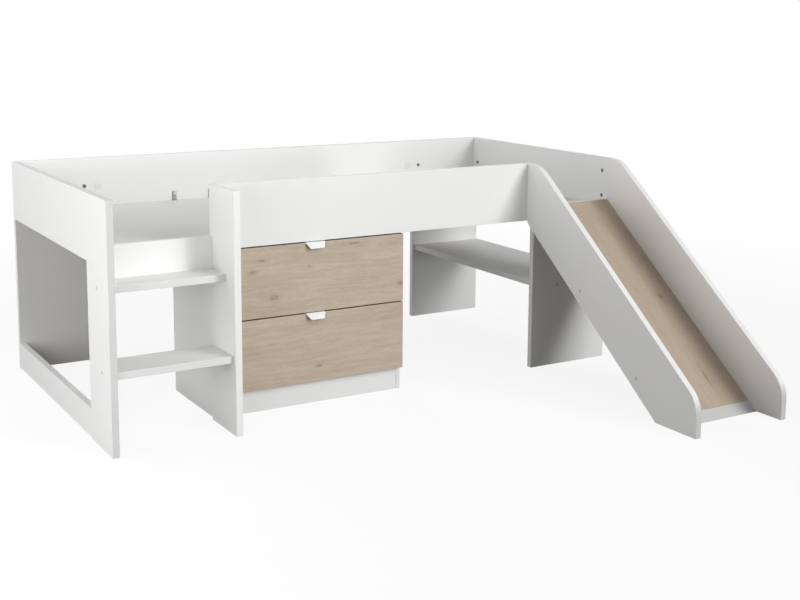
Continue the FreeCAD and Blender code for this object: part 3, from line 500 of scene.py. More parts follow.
@dataclass(frozen=True)
class Timber(Finish):
    """A sawn or printed timber face, whose colour is that of its palest fibres.

    Attributes:
        dark: Colour of the dark fibres.
        pore: Colour of the pores.
        heart: Colour of a knot.
        turn: Rows that turn the frame to the grain: along it, through the board and across it.
        knots: The knots.
        contrast: How far the tone goes from the middle of its two colours towards them.
        pore_share: How much of the pores' own colour shows.
        spread: By how much the roughness wanders with the tone.
        depth: Depth of the fibres in metres.
        across: The direction across a board whose edges are banded.
        edge_tone_and_painted_light: Tone of those edges, as a share of the faces' tone; below 1 it is painted
            shade in the gaps round the board.
    """

    dark: Colour
    pore: Colour
    heart: Colour
    turn: tuple[Vector, Vector, Vector] = (Axis.X.vector, Axis.Y.vector, Axis.Z.vector)
    knots: tuple[Knot, ...] = ()
    contrast: float = 1.0
    pore_share: float = 0.45
    spread: float = 0.08
    depth: float = 0.05 * MM
    across: Vector | None = None
    edge_tone_and_painted_light: float = 0.5

    def shade(self, tree: Tree, shader: bpy.types.Node) -> None:
        """Turn the grain, bend it round the knots and colour it.

        Args:
            tree: The material's nodes.
            shader: Its Principled node.
        """
        place = tree.add("ShaderNodeTexCoord").outputs
        turn = Matrix(self.turn).to_euler()
        vector = tree.add("ShaderNodeMapping", {"Vector": place["Object"], "Rotation": turn}).outputs[0]
        mask = None
        for one in self.knots:
            centre = (one.along, 0.0, one.across)
            feeds = {"Vector": vector, "Centre": centre, "Length": one.length, "Height": one.height}
            bent = tree.effect(knot(), feeds)
            vector = bent["Vector"]
            dark = tree.math("MULTIPLY", bent["Mask"], one.strength)
            mask = dark if mask is None else tree.math("MAXIMUM", mask, dark)
        grain = tree.effect(timber_grain(), {"Vector": vector})
        tone = tree.line(grain["Tone"], (1 - self.contrast) / 2, (1 + self.contrast) / 2)
        colour = tree.blend(tone, self.dark, self.colour)
        colour = tree.blend(tree.math("MULTIPLY", grain["Pores"], self.pore_share), colour, self.pore)
        if mask is not None:
            colour = tree.blend(mask, colour, self.heart)
        if self.across is not None:
            # Darkened edges are painted shade in the gaps round the board
            band = self.edges(tree, place["Normal"], self.across)
            colour = tree.tint(colour, tree.line(band, 1.0, self.edge_tone_and_painted_light))
        rough = tree.line(grain["Tone"], self.roughness + self.spread, self.roughness - self.spread)
        self.link(tree, shader, colour, rough)
        self.emboss(tree, shader, grain["Height"], self.depth)


@dataclass(frozen=True)
class FibreBoard(Finish):
    """Thin pressed board: pale foil on one side, bare brown fibre on the other and on the edges.

    Attributes:
        fibre: Colour of the bare fibre.
        foil: The direction in which the foil faces.
        bare_roughness: Roughness of the bare fibre.
        depth: Depth of the fibres in metres.
    """

    fibre: Colour
    foil: Vector
    bare_roughness: float = 0.8
    depth: float = 0.08 * MM

    def shade(self, tree: Tree, shader: bpy.types.Node) -> None:
        """Speckle the bare fibre and lay the foil over one side.

        Args:
            tree: The material's nodes.
            shader: Its Principled node.
        """
        foil_range, foil_relief = (0.4, 0.7), 0.1
        fleck_scale, fleck_range, fleck_tones = (240.0, 700.0, 240.0), (0.2, 0.8), (0.7, 1.25)
        place = tree.add("ShaderNodeTexCoord").outputs
        facing = tree.vector("DOT_PRODUCT", place["Normal"], self.foil, result="Value")
        side = tree.ease(facing, *foil_range)
        fleck = tree.drawn(place["Object"], fleck_scale, detail=4.0, roughness=0.7)
        bare = tree.tint(self.fibre[:3], tree.line(tree.ease(fleck, *fleck_range), *fleck_tones))
        rough = tree.line(side, self.bare_roughness, self.roughness)
        self.link(tree, shader, tree.blend(side, bare, self.colour), rough)
        relief = tree.math("MULTIPLY", fleck, tree.line(side, 1.0, foil_relief))
        self.emboss(tree, shader, relief, self.depth)


# How far the slide rises for each metre that it runs back
SLIDE_RISE = 0.7736
SLIDE_ANGLE = math.atan(SLIDE_RISE)
UP_SLIDE = Vector((0.0, math.cos(SLIDE_ANGLE), math.sin(SLIDE_ANGLE)))
OFF_SLIDE = Vector((0.0, -math.sin(SLIDE_ANGLE), math.cos(SLIDE_ANGLE)))

WHITE = screen_colour(234, 234, 233)
OAK = {
    "colour": screen_colour(204, 189, 170),
    "roughness": 0.5,
    "dark": screen_colour(163, 146, 126),
    "pore": screen_colour(120, 102, 82),
    "heart": screen_colour(112, 94, 74),
}
# The drawer fronts' edges are darkened to half the faces' tone: painted shade in the gaps round the fronts.
# Grain and knots are the oak's own.
DRAWER_OAK_PAINTED_EDGE_SHADE = Timber(
    "drawer_oak_painted_edge_shade", **OAK, contrast=0.9, across=Axis.Y.vector,
    knots=(
        Knot(-0.486, 0.481, 0.009, 0.005),
        Knot(-0.451, 0.517, 0.013, 0.004),
        Knot(-0.408, 0.389, 0.022, 0.011, 0.45),
        Knot(-0.277, 0.482, 0.009, 0.006, 0.3),
        Knot(-0.107, 0.546, 0.030, 0.004),
        Knot(0.079, 0.388, 0.014, 0.007),
        Knot(-0.244, 0.134, 0.013, 0.005),
    ))
SLIDE_OAK = Timber(
    "slide_oak", **OAK, contrast=0.45, turn=(UP_SLIDE, OFF_SLIDE, Axis.X.vector),
    knots=(Knot(-0.1225, 0.9353, 0.016, 0.007), Knot(-0.485, 0.892, 0.045, 0.006, 0.5)))
PINE = Timber(
    "batten_pine", screen_colour(228, 201, 160), 0.6, dark=screen_colour(199, 163, 116),
    pore=screen_colour(170, 130, 86), heart=screen_colour(130, 88, 52))
BOARDS = {axis: Coat(f"white_melamine_{axis.name.lower()}", WHITE, 0.42, across=axis.vector) for axis in Axis}
# The left end panel's front and top edges are greyer than its faces: painted shade. The sill of its window
# keeps the faces' tone.
LEFT_END_PAINTED_SHADE = replace(BOARDS[Axis.X], name="white_melamine_left_end", edge_tone_and_painted_light=0.72, sill=0.4)
# The slide sides' crests are whiter than their faces, a painted highlight, and their upright edges greyer,
# painted shade.
SLIDE_SIDE_PAINTED_LIGHT_AND_SHADE = replace(
    BOARDS[Axis.X], name="white_melamine_slide_side", edge_tone_and_painted_light=1.12, upright_painted_shade=0.69)
# The front rail's edges are whiter than its faces: a painted highlight along its top.
FRONT_RAIL_PAINTED_HIGHLIGHT = replace(BOARDS[Axis.Y], name="white_melamine_front_rail", edge_tone_and_painted_light=1.12)
# The treads' edges are greyer than their faces: painted shade on their fronts.
TREAD_PAINTED_SHADE = replace(BOARDS[Axis.Z], name="white_melamine_tread", edge_tone_and_painted_light=0.84)
# The toe strip is grey, not white: painted shade at the slide's foot.
SLIDE_TOE_PAINTED_SHADE = Coat("white_melamine_toe", screen_colour(204, 204, 203), 0.42)
DRAWER_BOARD = Coat("drawer_foil", screen_colour(226, 226, 224), 0.5)
BASE_BOARD = Coat("base_foil", screen_colour(232, 232, 230), 0.55)
POWDER_COAT = Coat("white_powder_coat", screen_colour(238, 238, 237), 0.36, grit=1400.0, depth=0.03 * MM)
MOULDING = Coat("white_moulding", screen_colour(226, 226, 226), 0.34, grit=2200.0, depth=0.006 * MM)
CAP_MOULDING = Coat("grey_white_moulding", screen_colour(202, 202, 202), 0.38, grit=2200.0, depth=0.006 * MM)
GREY_STEEL = Coat("grey_plated_steel", screen_colour(138, 138, 140), 0.45, drift=0.12, metallic=1.0)
CAST_ZINC = Coat("cast_zinc", screen_colour(128, 129, 131), 0.40, drift=0.12, grit=1800.0, metallic=1.0)
BRIGHT_STEEL = Coat("bright_plated_steel", screen_colour(206, 206, 203), 0.28, drift=0.08, metallic=1.0)
BACK_BOARD = FibreBoard("back_fibre_board", WHITE, 0.5, screen_colour(143, 106, 72), -Axis.Y.vector)
BOTTOM_BOARD = replace(BACK_BOARD, name="bottom_fibre_board", foil=Axis.Z.vector)


def turned(profile: Profile, steps: int, closed: bool = False) -> bmesh.types.BMesh:
    """Turn a profile about the Z axis, as on a lathe.

    Args:
        profile: Radius and height of each corner, in order.
        steps: Faces in a full turn.
        closed: True where the profile ends where it starts, as on a ring.

    Returns:
        The turned shape.
    """
    part = bmesh.new()
    corners = [part.verts.new((radius, 0.0, height)) for radius, height in profile]
    ends = corners[1:] + corners[:1] if closed else corners[1:]
    lines = [part.edges.new(pair) for pair in zip(corners, ends)]
    bmesh.ops.spin(
        part, geom=corners + lines, cent=(0, 0, 0), axis=Axis.Z.vector, angle=math.tau, steps=steps,
        use_merge=True)
    bmesh.ops.remove_doubles(part, verts=part.verts, dist=WELD)
    return part


def sink(part: bmesh.types.BMesh, outline: Profile, height: float, depth: float) -> None:
    """Close the open rim of a turned shape with a face that has a tapered recess.

    Args:
        part: The turned shape, open at one rim.
        outline: Corners of the recess.
        height: Height of the face.
        depth: Depth of the recess.
    """
    taper_share = 0.82
    rim = [edge for edge in part.edges if edge.is_boundary]
    corners = [part.verts.new((x, y, height)) for x, y in outline]
    lines = [part.edges.new(pair) for pair in zip(corners, corners[1:] + corners[:1])]
    bmesh.ops.bridge_loops(part, edges=rim + lines)
    floor = bmesh.ops.extrude_edge_only(part, edges=lines)["geom"]
    low = [item for item in floor if isinstance(item, bmesh.types.BMVert)]
    bmesh.ops.scale(part, vec=(taper_share, taper_share, 1.0), verts=low)
    bmesh.ops.translate(part, vec=(0.0, 0.0, -depth), verts=low)
    bmesh.ops.contextual_create(part, geom=[item for item in floor if isinstance(item, bmesh.types.BMEdge)])


def round_off(part: bmesh.types.BMesh, geom: list, radius: float, steps: int, affect: str = "EDGES") -> None:
    """Round edges or corners of a part.

    Args:
        part: The part.
        geom: The edges or corners.
        radius: Radius of the round.
        steps: Faces across it.
        affect: Which of the two they are, EDGES or VERTICES.
    """
    bmesh.ops.bevel(
        part, geom=geom, offset=radius, offset_type="OFFSET", affect=affect, segments=steps, profile=0.5,
        material=-1)


def folded(
        points: Sequence[Vector], width: Vector, bend: float, thickness: float,
        foot: float) -> bmesh.types.BMesh:
    """Fold a strip of sheet metal.

    Args:
        points: Outer corners of the strip's section, in order.
        width: From the one side of the strip to the other.
        bend: Outer radius of the folds.
        thickness: Thickness of the sheet, which lies inside the outer corners.
        foot: By how much each side draws in at the last point.

    Returns:
        The folded strip, with eased edges.
    """
    corner_round, eased = 3.0 * MM, 0.3 * MM
    fold_steps, corner_steps, eased_steps = 6, 5, 2
    part = bmesh.new()
    start = [part.verts.new(point) for point in points]
    lines = [part.edges.new(pair) for pair in zip(start, start[1:])]
    swept = bmesh.ops.extrude_edge_only(part, edges=lines)["geom"]
    far = [item for item in swept if isinstance(item, bmesh.types.BMVert)]
    bmesh.ops.translate(part, vec=width, verts=far)
    round_off(part, [edge for edge in part.edges if len(edge.link_faces) == 2], bend, fold_steps)
    ends = [min(part.verts, key=lambda v, p=p: (v.co - p).length) for p in (points[-1], points[-1] + width)]
    for corner, side in zip(ends, (width.normalized(), -width.normalized())):
        corner.co += side * foot
    round_off(part, ends, corner_round, corner_steps, "VERTICES")
    bmesh.ops.recalc_face_normals(part, faces=part.faces)
    bmesh.ops.solidify(part, geom=part.faces, thickness=thickness)
    bmesh.ops.recalc_face_normals(part, faces=part.faces)
    sharp = [edge for edge in part.edges if edge.calc_face_angle(0.0) > SMOOTH_ANGLE]
    round_off(part, sharp, eased, eased_steps)
    return part


def plate(size: Vector, corner: float, eased: float) -> bmesh.types.BMesh:
    """Make a plate with rounded corners and a soft front edge, its front towards +Z.

    Args:
        size: Length, width and thickness.
        corner: Radius of its corners.
        eased: Radius of its front edge.

    Returns:
        The plate, with its middle at the origin.
    """
    corner_steps, eased_steps = 6, 3
    part = bmesh.new()
    bmesh.ops.create_cube(part, size=1.0)
    bmesh.ops.scale(part, vec=size, verts=part.verts)
    upright = [edge for edge in part.edges if abs(edge.verts[0].co.z - edge.verts[1].co.z) > WELD]
    round_off(part, upright, corner, corner_steps)
    front = [edge for edge in part.edges if all(vert.co.z > 0 for vert in edge.verts)]
    round_off(part, front, eased, eased_steps)
    return part


def add_object(name: str, data: bpy.types.ID) -> bpy.types.Object:
    """Put a mesh, a lamp or a camera in the scene as an object.

    Args:
        name: The object's name.
        data: The mesh, lamp or camera.

    Returns:
        The new object.
    """
    thing = bpy.data.objects.new(name, data)
    bpy.context.scene.collection.objects.link(thing)
    return thing


class Piece:
    """A piece that is gathered from parts made in their own frames."""

    def __init__(self) -> None:
        """Start with nothing."""
        self.whole = bmesh.new()

    def take(self, part: bmesh.types.BMesh, place: Matrix | None = None) -> None:
        """Put a part in its place in the piece.

        Args:
            part: The part, which is freed here.
            place: Where it goes, unless it was made in its place.
        """
        if place is not None:
            bmesh.ops.transform(part, matrix=place, verts=part.verts)
        bmesh.ops.recalc_face_normals(part, faces=part.faces)
        carried = bpy.data.meshes.new("part")
        part.to_mesh(carried)
        part.free()
        self.whole.from_mesh(carried)
        bpy.data.meshes.remove(carried)

    def finish(self, name: str, finish: Finish, body: str, slot: str, node: str) -> bpy.types.Object:
        """Make the piece an object that rides on a body in place of a node.

        Args:
            name: The piece's name.
            finish: Its finish.
            body: The body that it moves with.
            slot: The record's material slot of that finish; it is not used.
            node: The node of the frame that it stands for.

        Returns:
            The finished object.
        """
        mesh = bpy.data.meshes.new(name)
        for face in self.whole.faces:
            face.smooth = True
        self.whole.to_mesh(mesh)
        self.whole.free()
        mesh.set_sharp_from_angle(angle=SMOOTH_ANGLE)
        mesh.materials.append(finish.material())
        piece = add_object(name, mesh)
        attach(piece, body)
        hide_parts(node)
        return piece


@dataclass(frozen=True)
class Solid:
    """One loose solid of a node that holds several.

    Attributes:
        points: Its corners.
    """

    points: tuple[Vector, ...]

    @property
    def low(self) -> Vector:
        """Its lowest corner."""
        return Vector([min(p[i] for p in self.points) for i in range(3)])

    @property
    def high(self) -> Vector:
        """Its highest corner."""
        return Vector([max(p[i] for p in self.points) for i in range(3)])

    @property
    def centre(self) -> Vector:
        """The middle of its box."""
        return (self.low + self.high) / 2

    @property
    def size(self) -> Vector:
        """Length of its box along each direction."""
        return self.high - self.low

    def thin_axis(self) -> Axis:
        """The direction in which it is shortest."""
        return Axis(min(range(3), key=lambda i: self.size[i]))

    def long_axis(self) -> Axis:
        """The direction in which it is longest."""
        return Axis(max(range(3), key=lambda i: self.size[i]))

    def reach(self, axis: Axis) -> Profile:
        """Give the height and radius of each corner about an axis through the middle."""
        away = [p - self.centre for p in self.points]
        return [(a.dot(axis.vector), (a - a.dot(axis.vector) * axis.vector).length) for a in away]


def solids(node: str) -> list[Solid]:
    """Split a node of the frame into its loose solids.

    Args:
        node: The node's name.

    Returns:
        The solids, in the order of their first corners.
    """
    mesh = bmesh.new()
    mesh.from_mesh(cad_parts[node].data)
    bmesh.ops.remove_doubles(mesh, verts=mesh.verts, dist=WELD)
    seen: set[bmesh.types.BMVert] = set()
    found = []
    for first in mesh.verts:
        if first in seen:
            continue
        seen.add(first)
        open_ends, points = [first], []
        while open_ends:
            vert = open_ends.pop()
            points.append(vert.co.copy())
            fresh = {edge.other_vert(vert) for edge in vert.link_edges} - seen
            seen |= fresh
            open_ends += fresh
        found.append(Solid(tuple(points)))
    mesh.free()
    return found


def upright_to(direction: Vector, origin: Vector) -> Matrix:
    """Give the place of a part whose Z axis points in a direction."""
    turn = Axis.Z.vector.rotation_difference(direction).to_matrix().to_4x4()
    return Matrix.Translation(origin) @ turn


@cache
def board_boxes() -> list[tuple[Vector, Vector]]:
    """The boxes of all boards of the frame, which are known by their slots until they are dressed."""
    slots = {"white_board", "drawer_board", "oak_board"}
    return [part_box(node) for node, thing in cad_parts.items() if thing.data.materials[0].name in slots]


def outward(solid: Solid, axis: Axis) -> Vector:
    """Find which way a fitting let into a board, or laid on it, faces.

    Args:
        solid: The fitting.
        axis: The direction across the board.

    Returns:
        The direction from the middle of the board to the face that holds the fitting.
    """
    slack = Vector((2 * MM,) * 3)
    holders = []
    for low, high in board_boxes():
        if all(a <= c <= b for a, c, b in zip(low - slack, solid.centre, high + slack)):
            holders.append((high[axis.value] - low[axis.value], (low + high)[axis.value] / 2))
    middle = min(holders)[1]
    return axis.vector * math.copysign(1.0, solid.centre[axis.value] - middle)


@dataclass(frozen=True)
class Assembly:
    """A sub-assembly, which dresses its nodes and builds pieces in place of some of them."""

    def dress(self) -> None:
        """Put finishes on the nodes that keep their shape."""

    def build(self) -> Iterable[bpy.types.Object]:
        """Build the pieces that stand for nodes."""
        return ()


@dataclass(frozen=True)
class BedFrame(Assembly):
    """End panels, rails, rear panels, desk shelf and leg panel of the bed."""

    def dress(self) -> None:
        """Give each board the finish that bands its edges, with painted shade on the left end's edges and a
        painted highlight on the front rail's.
        """
        LEFT_END_PAINTED_SHADE.dress("left_end_panel")
        BOARDS[Axis.X].dress("right_end_rail")
        FRONT_RAIL_PAINTED_HIGHLIGHT.dress("front_rail")
        BOARDS[Axis.Y].dress("back_rail", "rear_left_panel", "rear_right_panel", "slide_leg_panel")
        BOARDS[Axis.Z].dress("desk_shelf")


@dataclass(frozen=True)
class Ladder(Assembly):
    """Side panel, treads and sill of the ladder bay."""

    def dress(self) -> None:
        """Give each board the finish that bands its edges, with painted shade on the treads' edges."""
        BOARDS[Axis.X].dress("ladder_side_panel")
        BOARDS[Axis.Y].dress("entry_board")
        TREAD_PAINTED_SHADE.dress("lower_tread", "upper_tread")


@dataclass(frozen=True)
class SlideUnit(Assembly):
    """Sides, board and toe strip of the slide."""

    def dress(self) -> None:
        """Lay the oak down the slope between white sides, with a painted highlight and painted shade on the
        sides' edges and painted shade on the toe strip.
        """
        SLIDE_SIDE_PAINTED_LIGHT_AND_SHADE.dress("slide_left_side", "slide_right_side")
        SLIDE_OAK.dress("slide_board")
        SLIDE_TOE_PAINTED_SHADE.dress("slide_toe_strip")


@dataclass(frozen=True)
class BedBase(Assembly):
    """Base panels, battens, joint strips and the angle brackets on the base.

    Attributes:
        bend: Outer radius of a bracket's fold.
        metal: Thickness of a bracket.
    """

    bend: float = 5.0 * MM
    metal: float = 2.5 * MM

    def dress(self) -> None:
        """Lay pale base panels on pine battens."""
        BASE_BOARD.dress(*[f"base_panel_{place}" for place in ("left", "middle", "right")])
        PINE.dress(*[f"{place}_batten" for place in ("entry", "front", "slide_bay", "rear")])
        PINE.dress("joint_strip_left", "joint_strip_right")

    def build(self) -> Iterable[bpy.types.Object]:
        """Fold the brackets, each in the corner of the base and the rear boards.

        Returns:
            The brackets, as one piece.
        """
        brackets = Piece()
        for solid in solids("base_brackets"):
            low, high = solid.low, solid.high
            corners = [low, Vector((low.x, high.y, low.z)), Vector((low.x, high.y, high.z))]
            width = Vector((solid.size.x, 0.0, 0.0))
            brackets.take(folded(corners, width, self.bend, self.metal, 0.0))
        yield brackets.finish("base_brackets_folded", GREY_STEEL, "bed", "grey_steel", "base_brackets")


@dataclass(frozen=True)
class Chest(Assembly):
    """Carcass of the drawer chest and the runners fixed in it."""

    def dress(self) -> None:
        """Give the carcass its boards, and the runners their coat."""
        BOARDS[Axis.X].dress("chest_left_side", "chest_right_side")
        BOARDS[Axis.Y].dress("chest_plinth")
        BOARDS[Axis.Z].dress("chest_top", "chest_bottom")
        BACK_BOARD.dress("chest_back")
        POWDER_COAT.dress("upper_chest_runners", "lower_chest_runners")


@dataclass(frozen=True)
class Drawer(Assembly):
    """A drawer with its folded handle, its runners and the rollers that carry it.

    Attributes:
        level: Which drawer this is, upper or lower.
        metal: Thickness of the handle's sheet.
        bend: Outer radius of the handle's folds.
        foot_draw_in: By how much each side of the handle draws in at its foot.
        handle_leg: Length of the handle's leg behind the front.
        tab_run: How far the inner face of the leaning tab comes out from the front.
        tab_drop: How far the tab comes down.
        roller_steps: Faces round a roller.
        hub_share: Where a roller's hub ends, between its bore and its tread.
        rim_share: Where its rim begins.
        web_share: Thickness of its web against that of its rim.
        step_share: Run of the steps beside the web, against the tread's radius.
        edge_share: Radius of its outer edges, against the tread's radius.
        edge_bulge: How far the middle of those edges stays from the corner, as a share of that radius.
    """

    level: str
    metal: float = 1.5 * MM
    bend: float = 2.4 * MM
    foot_draw_in: float = 11.5 * MM
    handle_leg: float = 20.0 * MM
    tab_run: float = 19.0 * MM
    tab_drop: float = 19.0 * MM
    roller_steps: int = 40
    hub_share: float = 0.28
    rim_share: float = 0.62
    web_share: float = 0.62
    step_share: float = 0.03
    edge_share: float = 0.12
    edge_bulge: float = 0.3

    def dress(self) -> None:
        """Give the box its boards, the front its oak and the runners their coat."""
        DRAWER_OAK_PAINTED_EDGE_SHADE.dress(f"{self.level}_drawer_front")
        DRAWER_BOARD.dress(*[f"{self.level}_drawer_{part}" for part in ("left_side", "right_side", "back")])
        BOTTOM_BOARD.dress(f"{self.level}_drawer_bottom")
        POWDER_COAT.dress(f"{self.level}_drawer_runners")

    def build(self) -> Iterable[bpy.types.Object]:
        """Fold the handle and turn the rollers.

        Returns:
            The handle and the two pairs of rollers.
        """
        yield self.handle()
        for place in ("chest", "drawer"):
            yield self.rollers(f"{self.level}_{place}_rollers")

    def handle(self) -> bpy.types.Object:
        """Fold the handle over the top edge of the drawer front, with a tab that leans out.

        Returns:
            The piece that stands for the handle's node.
        """
        node = f"{self.level}_drawer_handle"
        low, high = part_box(node)
        face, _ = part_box(f"{self.level}_drawer_front")
        edge = high.z - self.metal
        tab = math.hypot(self.tab_run, self.tab_drop)
        section = (
            (high.y, edge - self.handle_leg),
            (high.y, high.z),
            (face.y - self.metal * (tab - self.tab_run) / self.tab_drop, high.z),
            (low.y, edge - self.tab_drop + self.metal * self.tab_run / tab),
        )
        corners = [Vector((low.x, y, z)) for y, z in section]
        piece = Piece()
        piece.take(folded(corners, Vector((high.x - low.x, 0, 0)), self.bend, self.metal, self.foot_draw_in))
        return piece.finish(f"{node}_folded", POWDER_COAT, f"{self.level}_drawer", "white_metal", node)

    def rollers(self, node: str) -> bpy.types.Object:
        """Turn a pair of rollers with a hub, a sunk web and a rounded tread.

        Args:
            node: The node that holds them, which has its body's name.

        Returns:
            The piece that stands for the node.
        """
        piece = Piece()
        for solid in solids(node):
            axis = solid.thin_axis()
            half = solid.size[axis.value] / 2
            reach = [radius for _, radius in solid.reach(axis)]
            bore, tread = min(reach), max(reach)
            hub, rim = (bore + (tread - bore) * share for share in (self.hub_share, self.rim_share))
            web, step, edge = self.web_share * half, self.step_share * tread, self.edge_share * tread
            bulge = self.edge_bulge * edge
            side = [(bore, half), (hub, half), (hub + step, web), (rim, web), (rim + step, half)]
            side += [(tread - edge, half), (tread - bulge, half - bulge), (tread, half - edge)]
            ring = side + [(radius, -height) for radius, height in reversed(side)]
            piece.take(turned(ring, self.roller_steps, closed=True), upright_to(axis.vector, solid.centre))
        return piece.finish(f"{node}_turned", MOULDING, node, "white_plastic", node)


@dataclass(frozen=True)
class Fittings(Assembly):
    """Cover caps, cam locks, cover plates, bolts and screws.

    Attributes:
        steps: Faces round a fitting.
        dome_steps: Faces from the rim of a cover cap to its top.
        cap_wall: Height of a cover cap's upright wall, as a share of its height.
        cam_rim: Width of the rim on a cam lock's face.
        cam_lip: Width of the slopes beside that rim.
        cam_recess: Reach of a cam lock's driver recess.
        cam_recess_depth: Depth of that recess.
        plate_corner: Radius of a cover plate's corners.
        plate_edge: Radius of a cover plate's front edge.
        screw_head: Height of a screw's head.
        screw_crown: Corners of the head's round: shares of its radius, and of its height from the top down.
        screw_recess: Reach of a screw's driver recess, as a share of the head's radius.
        screw_recess_depth: Depth of that recess, as a share of the head's height.
        screw_tip: Length of a screw's point, as a share of the shank's radius.
    """

    steps: int = 32
    dome_steps: int = 6
    cap_wall: float = 0.35
    cam_rim: float = 1.1 * MM
    cam_lip: float = 0.5 * MM
    cam_recess: float = 3.6 * MM
    cam_recess_depth: float = 2.5 * MM
    plate_corner: float = 3.0 * MM
    plate_edge: float = 0.6 * MM
    screw_head: float = 2.2 * MM
    screw_crown: Profile = ((1.0, 1.0), (1.0, 0.35), (0.93, 0.08), (0.84, 0.0))
    screw_recess: float = 0.55
    screw_recess_depth: float = 0.7
    screw_tip: float = 1.8

    def dress(self) -> None:
        """Plate the bolts, which keep their shape."""
        BRIGHT_STEEL.dress("cam_bolts")

    def build(self) -> Iterable[bpy.types.Object]:
        """Build the fittings that can be seen.

        Returns:
            A piece for each node of such fittings.
        """
        yield self.caps()
        yield self.cams()
        yield self.plates()
        yield self.screws("assembly_screws", "bed", Recess.HEXAGON)
        yield self.screws("wood_screws", "bed", Recess.CROSS)
        for level in ("upper", "lower"):
            yield self.screws(f"{level}_drawer_screws", f"{level}_drawer", Recess.CROSS)

    def caps(self) -> bpy.types.Object:
        """Turn the domed cover caps.

        Returns:
            The piece that stands for their node.
        """
        piece = Piece()
        dome = [math.pi / 2 * i / self.dome_steps for i in range(self.dome_steps + 1)]
        for solid in solids("cover_caps"):
            axis = solid.thin_axis()
            height = solid.size[axis.value]
            radius = max(reach for _, reach in solid.reach(axis))
            wall = self.cap_wall * height
            profile = [(0.0, 0.0), (radius, 0.0)]
            profile += [(radius * math.cos(a), wall + (height - wall) * math.sin(a)) for a in dome]
            direction = outward(solid, axis)
            seat = solid.centre - direction * height / 2
            piece.take(turned(profile, self.steps), upright_to(direction, seat))
        return piece.finish("cover_caps_domed", CAP_MOULDING, "bed", "white_plastic", "cover_caps")

    def cams(self) -> bpy.types.Object:
        """Turn the cam locks, with a rimmed face and a cross recess.

        Returns:
            The piece that stands for their node.
        """
        piece = Piece()
        lip = self.cam_lip
        for solid in solids("cam_locks"):
            axis = solid.thin_axis()
            depth = solid.size[axis.value]
            radius = max(reach for _, reach in solid.reach(axis))
            inner = radius - self.cam_rim
            profile = [(0.0, -depth), (radius - lip, -depth), (radius, lip - depth), (radius, -lip)]
            profile += [(radius - lip, 0.0), (inner, 0.0), (inner - lip, -lip)]
            part = turned(profile, self.steps)
            sink(part, Recess.CROSS.outline(self.cam_recess), -lip, self.cam_recess_depth)
            direction = outward(solid, axis)
            piece.take(part, upright_to(direction, solid.centre + direction * depth / 2))
        return piece.finish("cam_locks_cast", CAST_ZINC, "bed", "cam_zinc", "cam_locks")

    def plates(self) -> bpy.types.Object:
        """Mould the cover plates on the back rail.

        Returns:
            The piece that stands for their node.
        """
        piece = Piece()
        node = "joint_cover_plates"
        for solid in solids(node):
            axis = solid.thin_axis()
            size = Vector((solid.size.x, solid.size.z, solid.size[axis.value]))
            part = plate(size, self.plate_corner, self.plate_edge)
            piece.take(part, upright_to(outward(solid, axis), solid.centre))
        return piece.finish(f"{node}_moulded", MOULDING, "bed", "white_plastic", node)

    def screws(self, node: str, body: str, recess: Recess) -> bpy.types.Object:
        """Turn the screws of a node, each with a rounded head, a driver recess and a point.

        Args:
            node: The node that holds them.
            body: The body that they move with.
            recess: The recess in their heads.

        Returns:
            The piece that stands for the node.
        """
        end_depth = 0.2 * MM
        piece = Piece()
        for solid in solids(node):
            axis = solid.long_axis()
            half = solid.size[axis.value] / 2
            reach = solid.reach(axis)
            ends = {sign: max(r for h, r in reach if sign * h > half - end_depth) for sign in (1.0, -1.0)}
            sign = max(ends, key=lambda s: ends[s])
            head, shank = ends[sign], min(ends.values())
            tip = min(self.screw_tip * shank, half)
            profile = [(0.0, -2 * half), (shank, tip - 2 * half), (shank, -self.screw_head)]
            profile += [(wide * head, -deep * self.screw_head) for wide, deep in self.screw_crown]
            part = turned(profile, self.steps // 2)
            depth = self.screw_recess_depth * self.screw_head
            sink(part, recess.outline(self.screw_recess * head), 0.0, depth)
            direction = axis.vector * sign
            piece.take(part, upright_to(direction, solid.centre + direction * half))
        return piece.finish(f"{node}_turned", BRIGHT_STEEL, body, "bright_steel", node)


def away_from_bed(azimuth: float, elevation: float) -> Vector:
    """Give the direction from the bed to a place round it.

    Args:
        azimuth: Degrees round the bed: 0 in front, 90 on the slide's side.
        elevation: Degrees over the horizon.

    Returns:
        The unit vector to that place.
    """
    around, up = math.radians(azimuth), math.radians(elevation)
    return Vector((math.sin(around) * math.cos(up), -math.cos(around) * math.cos(up), math.sin(up)))


def aim(thing: bpy.types.Object, place: Vector, ahead: Vector, roll: float = 0.0) -> None:
    """Set up a lamp or a camera.

    Args:
        thing: The lamp or camera.
        place: Where it stands.
        ahead: The direction in which it looks.
        roll: Degrees that it is turned about that direction.
    """
    thing.location = place
    thing.rotation_mode = "QUATERNION"
    thing.rotation_quaternion = ahead.to_track_quat("-Z", "Y") @ Quaternion(Axis.Z.vector, math.radians(roll))


@dataclass(frozen=True)
class Lamp:
    """A soft square lamp that faces a point of the bed.

    Attributes:
        name: Its name.
        target: The point that it faces.
        azimuth: Where it stands round that point in degrees: 0 in front, 90 on the slide's side.
        elevation: How high it stands over that point, in degrees.
        distance: From that point, in metres.
        size: Its side in metres.
        power: In watts.
        glints: Whether it shows in gloss. A lamp that faces the camera would whiten every top edge.
    """

    name: str
    target: Vector
    azimuth: float
    elevation: float
    distance: float
    size: float
    power: float
    glints: bool = True

    def build(self) -> bpy.types.Object:
        """Hang the lamp so that it faces its target.

        Returns:
            The lamp in the scene.
        """
        light = bpy.data.lights.new(self.name, "AREA")
        light.shape, light.size, light.energy = "SQUARE", self.size, self.power
        lamp = add_object(self.name, light)
        away = away_from_bed(self.azimuth, self.elevation)
        aim(lamp, self.target + away * self.distance, -away)
        lamp.visible_camera = False
        lamp.visible_glossy = self.glints
        return lamp


BED_MIDDLE = (CAD_BOX[0] + CAD_BOX[1]) / 2
LADDER_END = Vector((-0.9, 0.1, 0.4))


